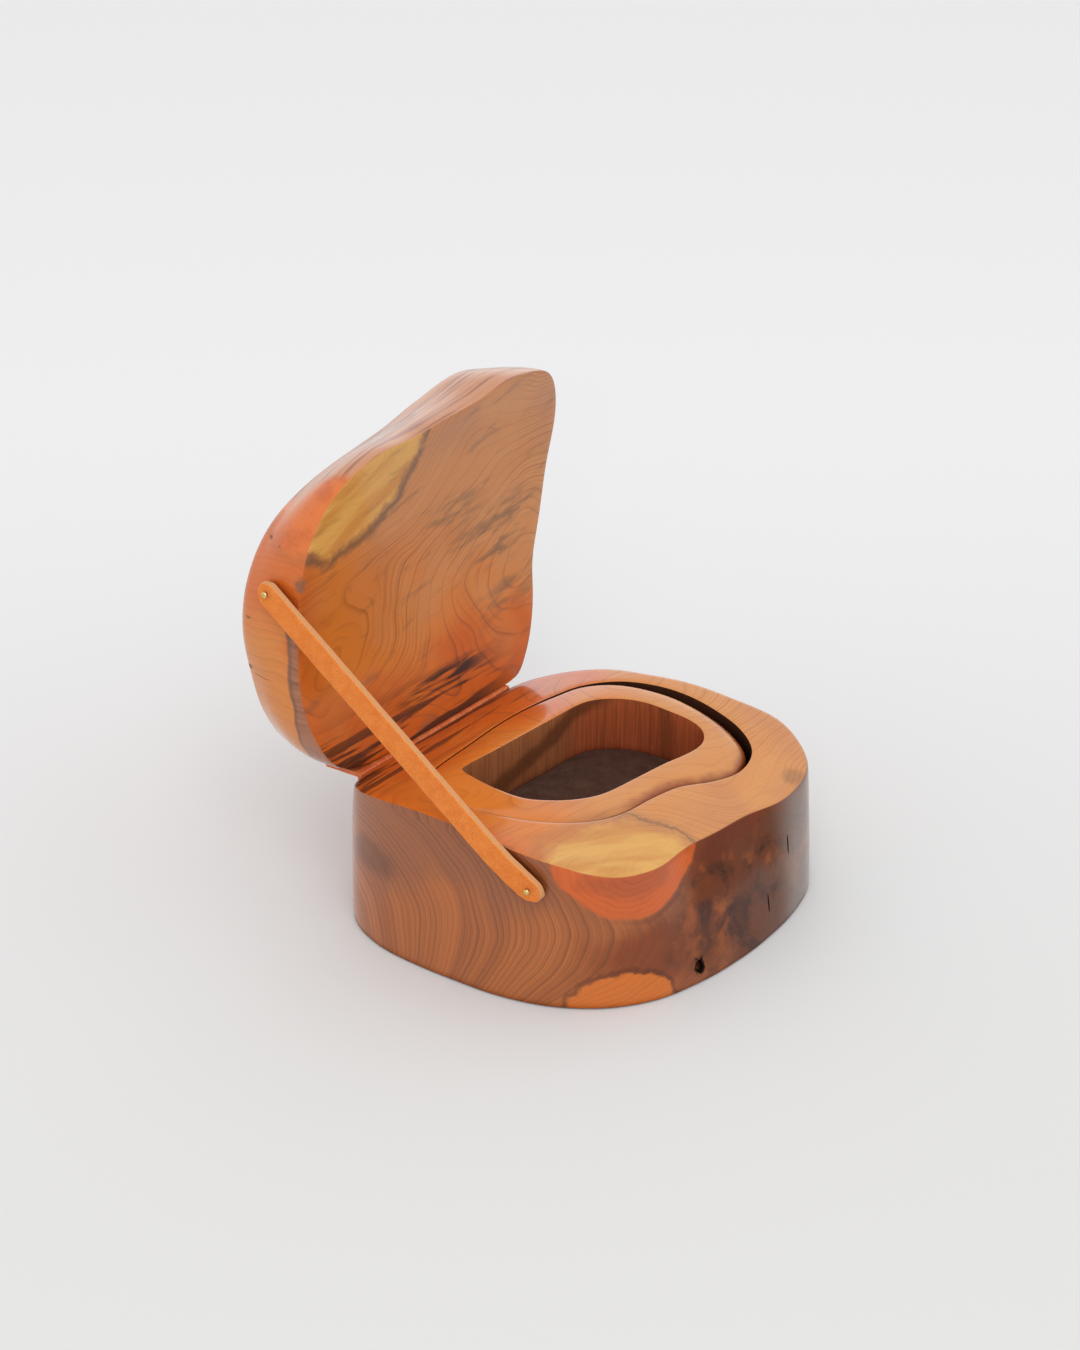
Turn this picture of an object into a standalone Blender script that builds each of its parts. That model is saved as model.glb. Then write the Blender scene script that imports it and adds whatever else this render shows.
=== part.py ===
"""Sculpted jewel box of solid wood, with a lift-out tray and a strap that holds its lid open.

Units are metres. +Z is up, +X is to the right and the front is towards -Y. The origin is on the
table under the middle of the box. The base, the tray and the lid are sawn from one block, so their
faces follow one wavy parting cut, ruled parallel to the hinge. The lid stands open here: it is
modelled closed, under an empty on the hinge line that opens it.
"""

import math

import bmesh
import bpy
import numpy as np
from mathutils import Matrix, Vector

# Block: its plan at the parting cut, placed from the origin by its left side and the hinge line
BLOCK_WIDTH = 0.1446
BLOCK_DEPTH = 0.1234
BLOCK_LEFT = 0.0736
HINGE_LINE = 0.0620

# Each row: across from the left, forward from the hinge, flare of the foot, then for the lid the inset
# of its crown, the bulge of its side and its overhang at the cut
BLOCK_SHARES = (
    (0.135, 0.000, 0.05, 0.10, 0.00, -2.50),
    (0.066, 0.050, 0.08, 0.25, 0.50, -0.60),
    (0.028, 0.180, 0.18, 0.15, 1.00, 0.80),
    (0.018, 0.310, 0.17, 0.00, 1.00, 1.00),
    (0.024, 0.470, 0.17, -0.25, 1.00, 1.00),
    (0.034, 0.620, 0.11, -0.08, 1.00, 1.00),
    (0.068, 0.770, 0.00, 0.40, 1.00, 1.00),
    (0.145, 0.897, 0.00, 1.00, 1.00, 1.00),
    (0.270, 0.953, 0.44, 1.00, 1.00, 1.00),
    (0.400, 0.952, 0.92, 0.64, 0.80, 1.00),
    (0.510, 0.965, 0.96, 0.52, 0.60, 1.00),
    (0.627, 0.975, 0.90, 0.25, 0.50, 1.00),
    (0.772, 1.000, 0.44, 0.17, 0.35, 0.90),
    (0.927, 0.956, 0.25, 0.40, 0.20, 0.70),
    (1.000, 0.800, 0.40, 0.20, 0.30, 1.50),
    (0.985, 0.617, 0.60, 0.15, 0.50, 1.20),
    (0.965, 0.468, 0.50, 0.15, 0.50, 1.00),
    (0.930, 0.336, 0.45, 0.20, 0.50, 1.00),
    (0.904, 0.200, 0.40, 0.25, 0.50, 1.00),
    (0.842, 0.078, 0.20, 0.25, 0.30, 1.00),
    (0.740, 0.000, 0.00, 0.00, 0.00, 1.00),
    (0.540, 0.000, 0.00, 0.00, 0.00, 1.00),
    (0.340, 0.000, 0.00, 0.00, 0.00, 0.40),
)

# Parting cut: its height at the hinge, the rise of its crest, and rows of forward share and rise
HINGE_HEIGHT = 0.0550
PARTING_RISE = 0.0084
PARTING_SHARES = (
    (0.00, 0.00),
    (0.12, 0.48),
    (0.28, 0.93),
    (0.40, 1.00),
    (0.57, 0.87),
    (0.77, 0.43),
    (0.85, 0.12),
    (0.93, -0.30),
    (1.00, -0.72),
)

# Base: a ring of wood with a board let into its underside
FOOT_FLARE = 0.0110
FOOT_BULGE_SHARE = 0.30
FOOT_ROUND = 0.0016
RIM_EASE = 0.0012
FLOOR_THICKNESS = 0.0070
FLOOR_REBATE = 0.0040

# Pit that a dead knot left low on the base's front, placed by its bearing from the middle
PIT_BEARING = math.radians(253.7)
PIT_HEIGHT = 0.0070
PIT_HALF_WIDTH = 0.0019
PIT_HALF_HEIGHT = 0.0026
PIT_DEPTH = 0.0032
PIT_SEGMENTS = 12

# Cavity through the base, sized and placed by the walls that it leaves round it
CAVITY_LEFT_WALL = 0.0156
CAVITY_RIGHT_WALL = 0.0132
CAVITY_BACK_WALL = 0.0210
CAVITY_FRONT_WALL = 0.0180
CAVITY_EASE = 0.0014

# Each row: across, forward, width of the gap beside the tray, fall of the tray's edge
CAVITY_SHARES = (
    (0.078, 0.077, 0.00, 0.10),
    (0.155, 0.041, 0.00, 0.10),
    (0.345, 0.018, 0.00, 0.10),
    (0.518, 0.000, 0.00, 0.10),
    (0.656, 0.012, 0.00, 0.10),
    (0.768, 0.045, 0.12, 0.10),
    (0.850, 0.086, 0.15, 0.10),
    (0.932, 0.207, 0.60, 0.10),
    (0.984, 0.367, 0.97, 0.15),
    (1.000, 0.533, 1.00, 0.25),
    (0.988, 0.717, 0.75, 0.50),
    (0.963, 0.841, 0.50, 0.80),
    (0.901, 0.957, 0.15, 1.00),
    (0.788, 1.000, 0.00, 1.00),
    (0.674, 0.966, 0.00, 0.95),
    (0.564, 0.899, 0.00, 0.75),
    (0.449, 0.870, 0.00, 0.50),
    (0.320, 0.853, 0.00, 0.30),
    (0.216, 0.801, 0.00, 0.28),
    (0.121, 0.699, 0.00, 0.25),
    (0.052, 0.569, 0.00, 0.22),
    (0.009, 0.415, 0.00, 0.20),
    (0.000, 0.273, 0.00, 0.15),
    (0.030, 0.142, 0.00, 0.12),
)

# Liner: the lower slice of the sawn core, glued back as the ledge that carries the tray
LINER_WALL = 0.0090
LINING_THICKNESS = 0.0015

# Tray: the upper slice of the core, free to lift out
TRAY_BOTTOM = 0.0365
TRAY_FIT = 0.0005
TRAY_GAP = 0.0037
TRAY_EDGE_FALL = 0.0052
TRAY_ROLL_SHARE = 0.30
TRAY_FLOOR_THICKNESS = 0.0042
TRAY_FLOOR_REBATE = 0.0030

# Hollow of the tray, sized and placed by the walls that it leaves inside the cavity
HOLLOW_LEFT_WALL = 0.0169
HOLLOW_RIGHT_WALL = 0.0135
HOLLOW_BACK_WALL = 0.0126
HOLLOW_FRONT_WALL = 0.0178
HOLLOW_EASE = 0.0010

# Each row: across, forward
HOLLOW_SHARES = (
    (0.056, 0.000),
    (0.240, 0.022),
    (0.411, 0.041),
    (0.610, 0.062),
    (0.801, 0.085),
    (0.882, 0.157),
    (0.947, 0.283),
    (0.982, 0.428),
    (0.992, 0.604),
    (1.000, 0.767),
    (0.985, 0.878),
    (0.950, 0.948),
    (0.878, 1.000),
    (0.769, 0.990),
    (0.651, 0.957),
    (0.472, 0.926),
    (0.314, 0.898),
    (0.228, 0.859),
    (0.143, 0.783),
    (0.076, 0.689),
    (0.019, 0.570),
    (0.000, 0.410),
    (0.004, 0.239),
    (0.024, 0.083),
)

# Lid: a solid slice. Its crown arches from back to front, and falls to the right and to the front
OPEN_ANGLE = math.radians(93.5)
LID_THICKNESS = 0.0243
CROWN_FALL_RIGHT = 0.0050
CROWN_FALL_FRONT = 0.0060
CROWN_ARCH = 0.0060
CROWN_DOME = 0.0030
LID_OVERHANG = 0.0012
LID_BULGE = 0.0024
CROWN_INSET = 0.0130
CROWN_INSET_POWER = 1.5
CROWN_ROUND = 0.0060

# Clearances: between pieces that rest or are glued together, and between the closed lid and base
CLEARANCE = 0.0003
PARTING_GAP = 0.0004

# Leather hinge strip, glued down the backs of the base and the lid
STRIP_LENGTH = 0.0860
STRIP_CENTRE_X = -0.0110
STRIP_THICKNESS = 0.0018
STRIP_LEG = 0.0160

# Leather strap on the left side, and the brass pins that hold its ends. Its points are cut to rows of
# the share of the way past a pin, and the share of the strap's width left there
STRAP_WIDTH = 0.0106
STRAP_THICKNESS = 0.0032
STRAP_TAIL = 0.0048
STRAP_TIP = 0.0040
POINT_SHARES = ((0.00, 1.00), (0.35, 0.95), (0.75, 0.70), (1.00, 0.45))
BASE_PIN_FORWARD = 0.0893
BASE_PIN_BELOW = 0.0107
LID_PIN_FORWARD = 0.0760
LID_PIN_ABOVE = 0.0102
PIN_HEAD_RADIUS = 0.00125
PIN_HEAD_HEIGHT = 0.0008
PIN_SHANK_RADIUS = 0.0005
PIN_DEPTH = 0.0100
PIN_POINT_LENGTH = 0.0015
PIN_POINT_SHARE = 0.33

# Overrun of every cut
OVERRUN = 0.0010

# Colours and roughnesses of the finishes
YEW_SIDE = (0.45, 0.20, 0.09)
YEW_FACE = (0.60, 0.28, 0.12)
YEW_DARK = (0.40, 0.18, 0.08)
BROWN = (0.045, 0.022, 0.017)
ORANGE = (0.74, 0.22, 0.05)
TAN = (0.80, 0.20, 0.06)
BRASS = (0.75, 0.60, 0.28)
OILED = 0.25
PLAIN = 0.50
SUEDE = 0.90

# Fineness of the surfaces
BEARING_COUNT = 96
SPLINE_STEPS = 12
STRAP_STATIONS = 44
PIN_SIDES = 16
SHARP_ANGLE = math.radians(40)

# Where the rings of a surface lie, as shares of the way over it
ARC_SHARES = (0.25, 0.50, 0.75, 1.00)
WALL_SHARES = (0.00, 0.25, 0.50, 0.75)
FACE_SHARES = (0.33, 0.67)
TRAY_FACE_SHARES = (1.00, 0.985, 0.94, 0.86, 0.72, 0.50, 0.25)
LID_FACE_SHARES = (0.12, 0.30, 0.48, 0.66, 0.84, 1.00)
LID_SIDE_SHARES = (0.00, 0.35, 0.70, 1.00)
CROWN_SHARES = (1.00, 0.80, 0.55, 0.30, 0.12)

# Share of a quarter arc's radius that its middle keeps from the corner, and the least leftward share of
# a bearing's direction for it to count as the left side
CORNER_SHARE = 1 - math.sqrt(0.5)
LEFT_REACH_SHARE = 0.32

BEARINGS = [2 * math.pi * k / BEARING_COUNT for k in range(BEARING_COUNT)]


def clear_scene():
    """Empty the scene of every object."""
    for thing in list(bpy.data.objects):
        bpy.data.objects.remove(thing, do_unlink=True)


def finish(name, colour, roughness, metallic=0.0):
    """A plain surface finish in the piece's colour."""
    material = bpy.data.materials.new(name)
    material.use_nodes = True
    shader = material.node_tree.nodes["Principled BSDF"]
    shader.inputs["Base Color"].default_value = (*colour, 1.0)
    shader.inputs["Roughness"].default_value = roughness
    shader.inputs["Metallic"].default_value = metallic
    return material


def closed_spline(rows):
    """Points of a closed Catmull-Rom curve through rows of any number of columns."""
    rows = np.array(rows)
    before, after, beyond = np.roll(rows, 1, 0), np.roll(rows, -1, 0), np.roll(rows, -2, 0)
    points = []
    for i in range(len(rows)):
        for step in range(SPLINE_STEPS):
            t = step / SPLINE_STEPS
            rising = (after[i] - before[i]) * t
            bending = (2 * before[i] - 5 * rows[i] + 4 * after[i] - beyond[i]) * t * t
            turning = (3 * rows[i] - before[i] - 3 * after[i] + beyond[i]) * t ** 3
            points.append(rows[i] + (rising + bending + turning) / 2)
    return np.array(points)


def outline(shares, width, depth, left, back):
    """A closed plan outline around the origin: its radius at every bearing, and its other columns."""
    rows = [(left + row[0] * width, back - row[1] * depth, *row[2:]) for row in shares]
    curve = closed_spline(rows)
    bearing = np.arctan2(curve[:, 1], curve[:, 0]) % (2 * math.pi)
    order = np.argsort(bearing)
    columns = [np.hypot(curve[:, 0], curve[:, 1]), *curve.T[2:]]
    return [np.interp(BEARINGS, bearing[order], column[order], period=2 * math.pi) for column in columns]


def smooth_value(rows, at):
    """Height at one place on a smooth curve through rows of place and height."""
    slopes = [
        (rows[min(i + 1, len(rows) - 1)][1] - rows[max(i - 1, 0)][1])
        / (rows[min(i + 1, len(rows) - 1)][0] - rows[max(i - 1, 0)][0])
        for i in range(len(rows))
    ]
    if at <= rows[0][0]:
        return rows[0][1] + slopes[0] * (at - rows[0][0])
    if at >= rows[-1][0]:
        return rows[-1][1] + slopes[-1] * (at - rows[-1][0])
    i = max(k for k in range(len(rows) - 1) if rows[k][0] <= at)
    span = rows[i + 1][0] - rows[i][0]
    t = (at - rows[i][0]) / span
    ends = rows[i][1] * (1 + 2 * t) * (1 - t) ** 2 + rows[i + 1][1] * t * t * (3 - 2 * t)
    return ends + span * (slopes[i] * t * (1 - t) ** 2 - slopes[i + 1] * t * t * (1 - t))


def parting(y):
    """Height of the parting cut, which is the same all along X."""
    return HINGE_HEIGHT + PARTING_RISE * smooth_value(PARTING_SHARES, (HINGE_LINE - y) / BLOCK_DEPTH)


# The block's back is planed flat, half the strip's thickness in front of the hinge line
BACK_FLAT = HINGE_LINE - STRIP_THICKNESS / 2 - CLEARANCE
CAVITY_LEFT = -BLOCK_LEFT + CAVITY_LEFT_WALL
CAVITY_BACK = HINGE_LINE - CAVITY_BACK_WALL
CAVITY_WIDTH = BLOCK_WIDTH - CAVITY_LEFT_WALL - CAVITY_RIGHT_WALL
CAVITY_DEPTH = BLOCK_DEPTH - CAVITY_BACK_WALL - CAVITY_FRONT_WALL
HOLLOW_LEFT = CAVITY_LEFT + HOLLOW_LEFT_WALL
HOLLOW_BACK = CAVITY_BACK - HOLLOW_BACK_WALL
HOLLOW_WIDTH = CAVITY_WIDTH - HOLLOW_LEFT_WALL - HOLLOW_RIGHT_WALL
HOLLOW_DEPTH = CAVITY_DEPTH - HOLLOW_BACK_WALL - HOLLOW_FRONT_WALL
CROWN_HEIGHT = HINGE_HEIGHT + PARTING_RISE + LID_THICKNESS
BLOCK_RADII, FLARES, INSETS, BULGES, OVERHANGS = outline(
    BLOCK_SHARES, BLOCK_WIDTH, BLOCK_DEPTH, -BLOCK_LEFT, HINGE_LINE
)
LIP_RADII = BLOCK_RADII + LID_OVERHANG * OVERHANGS
CAVITY_RADII, GAPS, FALLS = outline(CAVITY_SHARES, CAVITY_WIDTH, CAVITY_DEPTH, CAVITY_LEFT, CAVITY_BACK)
TRAY_RADII = CAVITY_RADII - TRAY_FIT - TRAY_GAP * np.clip(GAPS, 0, 1)
HOLLOW_RADII, = outline(HOLLOW_SHARES, HOLLOW_WIDTH, HOLLOW_DEPTH, HOLLOW_LEFT, HOLLOW_BACK)

HINGE_AXIS = Vector((STRIP_CENTRE_X, HINGE_LINE, HINGE_HEIGHT))


def ring(radii, height):
    """One ring of corners. The height is a number, or a function of a corner's number, X and Y."""
    corners = []
    for k, bearing in enumerate(BEARINGS):
        x = radii[k] * math.cos(bearing)
        y = min(radii[k] * math.sin(bearing), BACK_FLAT)
        corners.append(Vector((x, y, height(k, x, y) if callable(height) else height)))
    return corners


def lofted(name, rings, material, ends="capped", smooth=True):
    """A closed body through rings of corners: capped at both ends, or joined round into a tube."""
    body = bmesh.new()
    rows = [[body.verts.new(corner) for corner in corners] for corners in rings]
    pairs = list(zip(rows, rows[1:]))
    if ends == "joined":
        pairs.append((rows[-1], rows[0]))
    for lower, upper in pairs:
        for k in range(len(lower)):
            after = (k + 1) % len(lower)
            body.faces.new((lower[k], lower[after], upper[after], upper[k]))
    if ends == "capped":
        body.faces.new(list(reversed(rows[0])))
        body.faces.new(rows[-1])
    if ends == "pointed":
        for row, forward in ((rows[0], False), (rows[-1], True)):
            middle = body.verts.new(sum((v.co for v in row), Vector()) / len(row))
            for k in range(len(row)):
                pair = (row[k], row[(k + 1) % len(row)])
                body.faces.new((*(pair if forward else reversed(pair)), middle))
    bmesh.ops.recalc_face_normals(body, faces=body.faces)
    mesh = bpy.data.meshes.new(name)
    body.to_mesh(mesh)
    body.free()
    mesh.materials.append(material)
    if smooth:
        mesh.shade_smooth()
        mesh.set_sharp_from_angle(angle=SHARP_ANGLE)
    piece = bpy.data.objects.new(name, mesh)
    bpy.context.scene.collection.objects.link(piece)
    return piece


def board(name, radii, low, high, material):
    """A flat board or lining between two heights."""
    return lofted(name, [ring(radii, low), ring(radii, high)], material)


def pivot(name, place, turn=0.0):
    """An empty that carries a moving body, turned about X."""
    carrier = bpy.data.objects.new(name, None)
    carrier.location = place
    carrier.rotation_euler = (turn, 0, 0)
    bpy.context.scene.collection.objects.link(carrier)
    return carrier


def carry(carrier, *pieces):
    """Hang pieces, modelled in the part's own frame, on an empty."""
    for piece in pieces:
        piece.parent = carrier
        piece.matrix_parent_inverse = Matrix.Translation(-carrier.location)


def wall_radius(k, share):
    """Radius of the base's side at one bearing, from 0 at the table to 1 at the parting cut."""
    down = 1 - share
    return BLOCK_RADII[k] + FOOT_FLARE * FLARES[k] * down * (1 + FOOT_BULGE_SHARE * share)


def wall_ring(share):
    """A ring round the base's side, above its rounded foot and below its eased rim."""
    radii = [wall_radius(k, share) for k in range(BEARING_COUNT)]

    def height(k, x, y):
        top = parting(min(BLOCK_RADII[k] * math.sin(BEARINGS[k]), BACK_FLAT))
        return FOOT_ROUND + share * (top - RIM_EASE - FOOT_ROUND)

    return ring(radii, height)


def on_cut(k, x, y):
    """Height of the parting cut over a corner."""
    return parting(y)


def eased(fall):
    """Height function a set distance below the parting cut."""
    return lambda k, x, y: parting(y) - fall


def between(inner, outer, share):
    """Radii part of the way from one outline to another."""
    return np.array(inner) + (np.array(outer) - np.array(inner)) * share


def eased_edge(radii, reach, sign):
    """Three rings over an eased edge, from the upright side to the cut face."""
    return [
        ring(radii, eased(reach)),
        ring(radii + sign * reach * CORNER_SHARE, eased(reach * CORNER_SHARE)),
        ring(radii + sign * reach, on_cut),
    ]


def base_ring(material):
    """The base's outer wall, open through the middle and rebated below for its floor."""
    foot = np.array([wall_radius(k, 0) for k in range(BEARING_COUNT)])
    corner = FOOT_ROUND * CORNER_SHARE
    rings = [ring(foot - FOOT_ROUND, 0), ring(foot - corner, corner)]
    rings += [wall_ring(share) for share in WALL_SHARES]
    rings += eased_edge(BLOCK_RADII, RIM_EASE, -1)
    inner = CAVITY_RADII + CAVITY_EASE
    outer = BLOCK_RADII - RIM_EASE
    rings += [ring(between(outer, inner, share), on_cut) for share in FACE_SHARES]
    rings += reversed(eased_edge(CAVITY_RADII, CAVITY_EASE, 1))
    rings.append(ring(CAVITY_RADII, FLOOR_THICKNESS))
    rings.append(ring(CAVITY_RADII + FLOOR_REBATE, FLOOR_THICKNESS))
    rings.append(ring(CAVITY_RADII + FLOOR_REBATE, 0))
    return lofted("base_ring", rings, material, "joined")


def liner_ring(material):
    """The ledge inside the base that carries the tray round the lower compartment."""
    inner = CAVITY_RADII - LINER_WALL
    outer = CAVITY_RADII - CLEARANCE
    low, high = FLOOR_THICKNESS, TRAY_BOTTOM - CLEARANCE
    rings = [ring(inner, low), ring(outer, low), ring(outer, high), ring(inner, high)]
    return lofted("liner_ring", rings, material, "joined")


def tray_top(share):
    """A ring over the tray's face, from 0 at the hollow to 1 at the rolled outer edge."""
    inner = HOLLOW_RADII + HOLLOW_EASE
    roll = max(0.0, (share - TRAY_ROLL_SHARE) / (1 - TRAY_ROLL_SHARE))

    def height(k, x, y):
        return parting(y) - TRAY_EDGE_FALL * FALLS[k] * (1 - math.sqrt(1 - roll * roll))

    return ring(between(inner, TRAY_RADII, share), height)


def tray_ring(material):
    """The tray's wall, with its rolled face, its hollow and a rebate below for its floor."""
    ceiling = TRAY_BOTTOM + TRAY_FLOOR_THICKNESS + CLEARANCE
    rings = [ring(TRAY_RADII, TRAY_BOTTOM)]
    rings += [tray_top(share) for share in TRAY_FACE_SHARES]
    rings += reversed(eased_edge(HOLLOW_RADII, HOLLOW_EASE, 1))
    rings.append(ring(HOLLOW_RADII, ceiling))
    rings.append(ring(HOLLOW_RADII + TRAY_FLOOR_REBATE, ceiling))
    rings.append(ring(HOLLOW_RADII + TRAY_FLOOR_REBATE, TRAY_BOTTOM))
    return lofted("tray_ring", rings, material, "joined")


def crown(x, y, reach):
    """Height of the closed lid's top. The reach is 0 in the middle and 1 at the crown's edge."""
    tilt = CROWN_FALL_FRONT * y / BLOCK_DEPTH - CROWN_FALL_RIGHT * x / BLOCK_WIDTH
    arch = CROWN_ARCH * (2 * y / BLOCK_DEPTH) ** 2
    return CROWN_HEIGHT + tilt - arch + CROWN_DOME * (1 - reach * reach)


def lid_side(k, share):
    """Radius of the lid's side at one bearing, from 0 at the parting cut to 1 under the crown."""
    bulge = LID_BULGE * BULGES[k] * 4 * share * (1 - share)
    return LIP_RADII[k] - CROWN_INSET * INSETS[k] * share ** CROWN_INSET_POWER + bulge


def lid_ring(share):
    """A ring round the closed lid's side, from its eased lower edge to the rounding of the crown."""
    radii = [lid_side(k, share) for k in range(BEARING_COUNT)]

    def height(k, x, y):
        low = parting(min(BLOCK_RADII[k] * math.sin(BEARINGS[k]), BACK_FLAT)) + PARTING_GAP + RIM_EASE
        return low + share * (crown(x, y, 1) - CROWN_ROUND - low)

    return ring(radii, height)


def lid_body(material):
    """The lid as it lies closed, from its underside up over its side to the crown."""
    under = LIP_RADII - RIM_EASE
    rings = [ring(under * share, eased(-PARTING_GAP)) for share in LID_FACE_SHARES]
    rings.append(ring(LIP_RADII - RIM_EASE * CORNER_SHARE, eased(-PARTING_GAP - RIM_EASE * CORNER_SHARE)))
    rings += [lid_ring(share) for share in LID_SIDE_SHARES]
    edge = np.array([lid_side(k, 1) for k in range(BEARING_COUNT)])
    for arc in ARC_SHARES[:-1]:
        turn = arc * math.pi / 2
        inward, short = CROWN_ROUND * (1 - math.cos(turn)), CROWN_ROUND * (1 - math.sin(turn))
        rings.append(ring(edge - inward, lambda k, x, y, short=short: crown(x, y, 1) - short))
    rim = edge - CROWN_ROUND
    for share in CROWN_SHARES:
        rings.append(ring(rim * share, lambda k, x, y, share=share: crown(x, y, share)))
    return lofted("lid", rings, material, "pointed")


def hinge_strip(material):
    """The leather strip, bent round the hinge line from the base's back to the lid's."""
    half = STRIP_THICKNESS / 2

    def opened(y, z):
        return Vector((y * math.cos(OPEN_ANGLE) + z * math.sin(OPEN_ANGLE),
                       z * math.cos(OPEN_ANGLE) - y * math.sin(OPEN_ANGLE)))

    mitre = half / math.tan((math.pi - OPEN_ANGLE) / 2)
    profile = [Vector((half, -mitre)), Vector((half, -STRIP_LEG)), Vector((-half, -STRIP_LEG))]
    for arc in (0, *ARC_SHARES):
        turn = math.pi - arc * OPEN_ANGLE
        profile.append(Vector((half * math.cos(turn), half * math.sin(turn))))
    profile += [opened(-half, STRIP_LEG), opened(half, STRIP_LEG)]
    rings = []
    for end in (-STRIP_LENGTH / 2, STRIP_LENGTH / 2):
        rings.append([HINGE_AXIS + Vector((end, point.x, point.y)) for point in profile])
    return lofted("hinge_strip", rings, material)


def closed_place(y, z):
    """Where a place seen on the open lid lies when the lid is closed."""
    back, up = y - HINGE_AXIS.y, z - HINGE_AXIS.z
    return (HINGE_AXIS.y + back * math.cos(OPEN_ANGLE) - up * math.sin(OPEN_ANGLE),
            HINGE_AXIS.z + up * math.cos(OPEN_ANGLE) + back * math.sin(OPEN_ANGLE))


def open_place(y, z):
    """Where a place on the closed lid lies when the lid is open."""
    back, up = y - HINGE_AXIS.y, z - HINGE_AXIS.z
    return (HINGE_AXIS.y + back * math.cos(OPEN_ANGLE) + up * math.sin(OPEN_ANGLE),
            HINGE_AXIS.z + up * math.cos(OPEN_ANGLE) - back * math.sin(OPEN_ANGLE))


def left_face(y, radius_of):
    """X of the block's left side at one place along it, from the radii of a level."""
    side = [k for k in range(BEARING_COUNT) if math.cos(BEARINGS[k]) < -LEFT_REACH_SHARE]
    places = []
    for k in side:
        places.append((radius_of(k) * math.sin(BEARINGS[k]), radius_of(k) * math.cos(BEARINGS[k])))
    return float(np.interp(y, *zip(*sorted(places))))


def left_wood(y, z):
    """X of the wood's left face beside a place in the open box, or None where the strap hangs free."""
    if z <= parting(y) and y < BACK_FLAT:
        return left_face(y, lambda k: wall_radius(k, z / parting(y)))
    y, z = closed_place(y, z)
    if z >= parting(y) + PARTING_GAP and y < BACK_FLAT:
        rise = (z - parting(y)) / (CROWN_HEIGHT - parting(y))
        return left_face(y, lambda k: lid_side(k, min(max(rise, 0), 1)))
    return None


BASE_PIN_Y = HINGE_LINE - BASE_PIN_FORWARD
BASE_PIN_Z = parting(BASE_PIN_Y) - BASE_PIN_BELOW
LID_PIN_CLOSED_Y = HINGE_LINE - LID_PIN_FORWARD
LID_PIN_CLOSED_Z = parting(LID_PIN_CLOSED_Y) + LID_PIN_ABOVE
LID_PIN_Y, LID_PIN_Z = open_place(LID_PIN_CLOSED_Y, LID_PIN_CLOSED_Z)
STRAP_SPAN = math.hypot(LID_PIN_Y - BASE_PIN_Y, LID_PIN_Z - BASE_PIN_Z)
STRAP_ALONG = Vector((0, LID_PIN_Y - BASE_PIN_Y, LID_PIN_Z - BASE_PIN_Z)) / STRAP_SPAN
STRAP_ACROSS = Vector((0, -STRAP_ALONG.z, STRAP_ALONG.y))


def strap_station(place, across, x):
    """A point of the strap: along it from the base's pin, across it, at a given X."""
    y = BASE_PIN_Y + STRAP_ALONG.y * place + STRAP_ACROSS.y * across
    z = BASE_PIN_Z + STRAP_ALONG.z * place + STRAP_ACROSS.z * across
    return Vector((x, y, z))


def strap_limits(places):
    """At each place, the greatest X that keeps the strap's middle plane clear of the wood."""
    limits = []
    for place in places:
        faces = []
        for across in (-STRAP_WIDTH / 2, 0, STRAP_WIDTH / 2):
            point = strap_station(place, across, 0)
            face = left_wood(point.y, point.z)
            if face is not None:
                faces.append(face - CLEARANCE - STRAP_THICKNESS / 2)
        limits.append(min(faces) if faces else None)
    return limits


def taut(places, limits):
    """The strap pulled straight past the wood: the fullest curve that bends only outwards."""
    known = [(place, limit) for place, limit in zip(places, limits) if limit is not None]
    line = []
    for place in places:
        best = min((limit for at, limit in known if at == place), default=0)
        for at, limit in known:
            for beyond, far in known:
                if at <= place <= beyond and at < beyond:
                    share = (place - at) / (beyond - at)
                    best = min(best, limit + (far - limit) * share)
        line.append(best)
    return line


def strap_half_width(place):
    """Half the strap's width, which is full between the pins and cut to a blunt point past each."""
    past = max(-place / STRAP_TAIL, (place - STRAP_SPAN) / STRAP_TIP, 0)
    return STRAP_WIDTH / 2 * min(1, np.interp(past, *zip(*POINT_SHARES)))


STRAP_LENGTH = STRAP_TAIL + STRAP_SPAN + STRAP_TIP
STRAP_PLACES = [STRAP_LENGTH * i / STRAP_STATIONS - STRAP_TAIL for i in range(STRAP_STATIONS + 1)]
STRAP_LINE = taut(STRAP_PLACES, strap_limits(STRAP_PLACES))


def strap_x(place):
    """X of the strap's middle plane at one place along it."""
    return float(np.interp(place, STRAP_PLACES, STRAP_LINE))


def pin_seat(place):
    """X of the underside of a pin's head, clear of the strap all round it."""
    beside = (strap_x(place + side * PIN_HEAD_RADIUS) for side in (-1, 0, 1))
    return min(beside) - STRAP_THICKNESS / 2 - CLEARANCE


def strap_body(material):
    """The strap, drawn taut from the base's pin to the lid's and holed for both."""
    half = STRAP_THICKNESS / 2
    rings = []
    for place in STRAP_PLACES:
        width = strap_half_width(place)
        corners = ((-width, -half), (width, -half), (width, half), (-width, half))
        rings.append([strap_station(place, across, strap_x(place) + depth) for across, depth in corners])
    return lofted("strap", rings, material)


def hidden(cutter):
    """Link a cutter to the scene, or keep a linked one, out of sight."""
    if cutter.name not in bpy.context.scene.collection.objects:
        bpy.context.scene.collection.objects.link(cutter)
    cutter.hide_render = True
    cutter.display_type = "WIRE"
    return cutter


def rod(name, radius, length, middle, material):
    """A round rod along X, used as a cutter."""
    rings = []
    for end in (-length / 2, length / 2):
        turns = [2 * math.pi * k / PIN_SIDES for k in range(PIN_SIDES)]
        rings.append([middle + Vector((end, radius * math.cos(a), radius * math.sin(a))) for a in turns])
    return hidden(lofted(name, rings, material, smooth=False))


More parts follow.
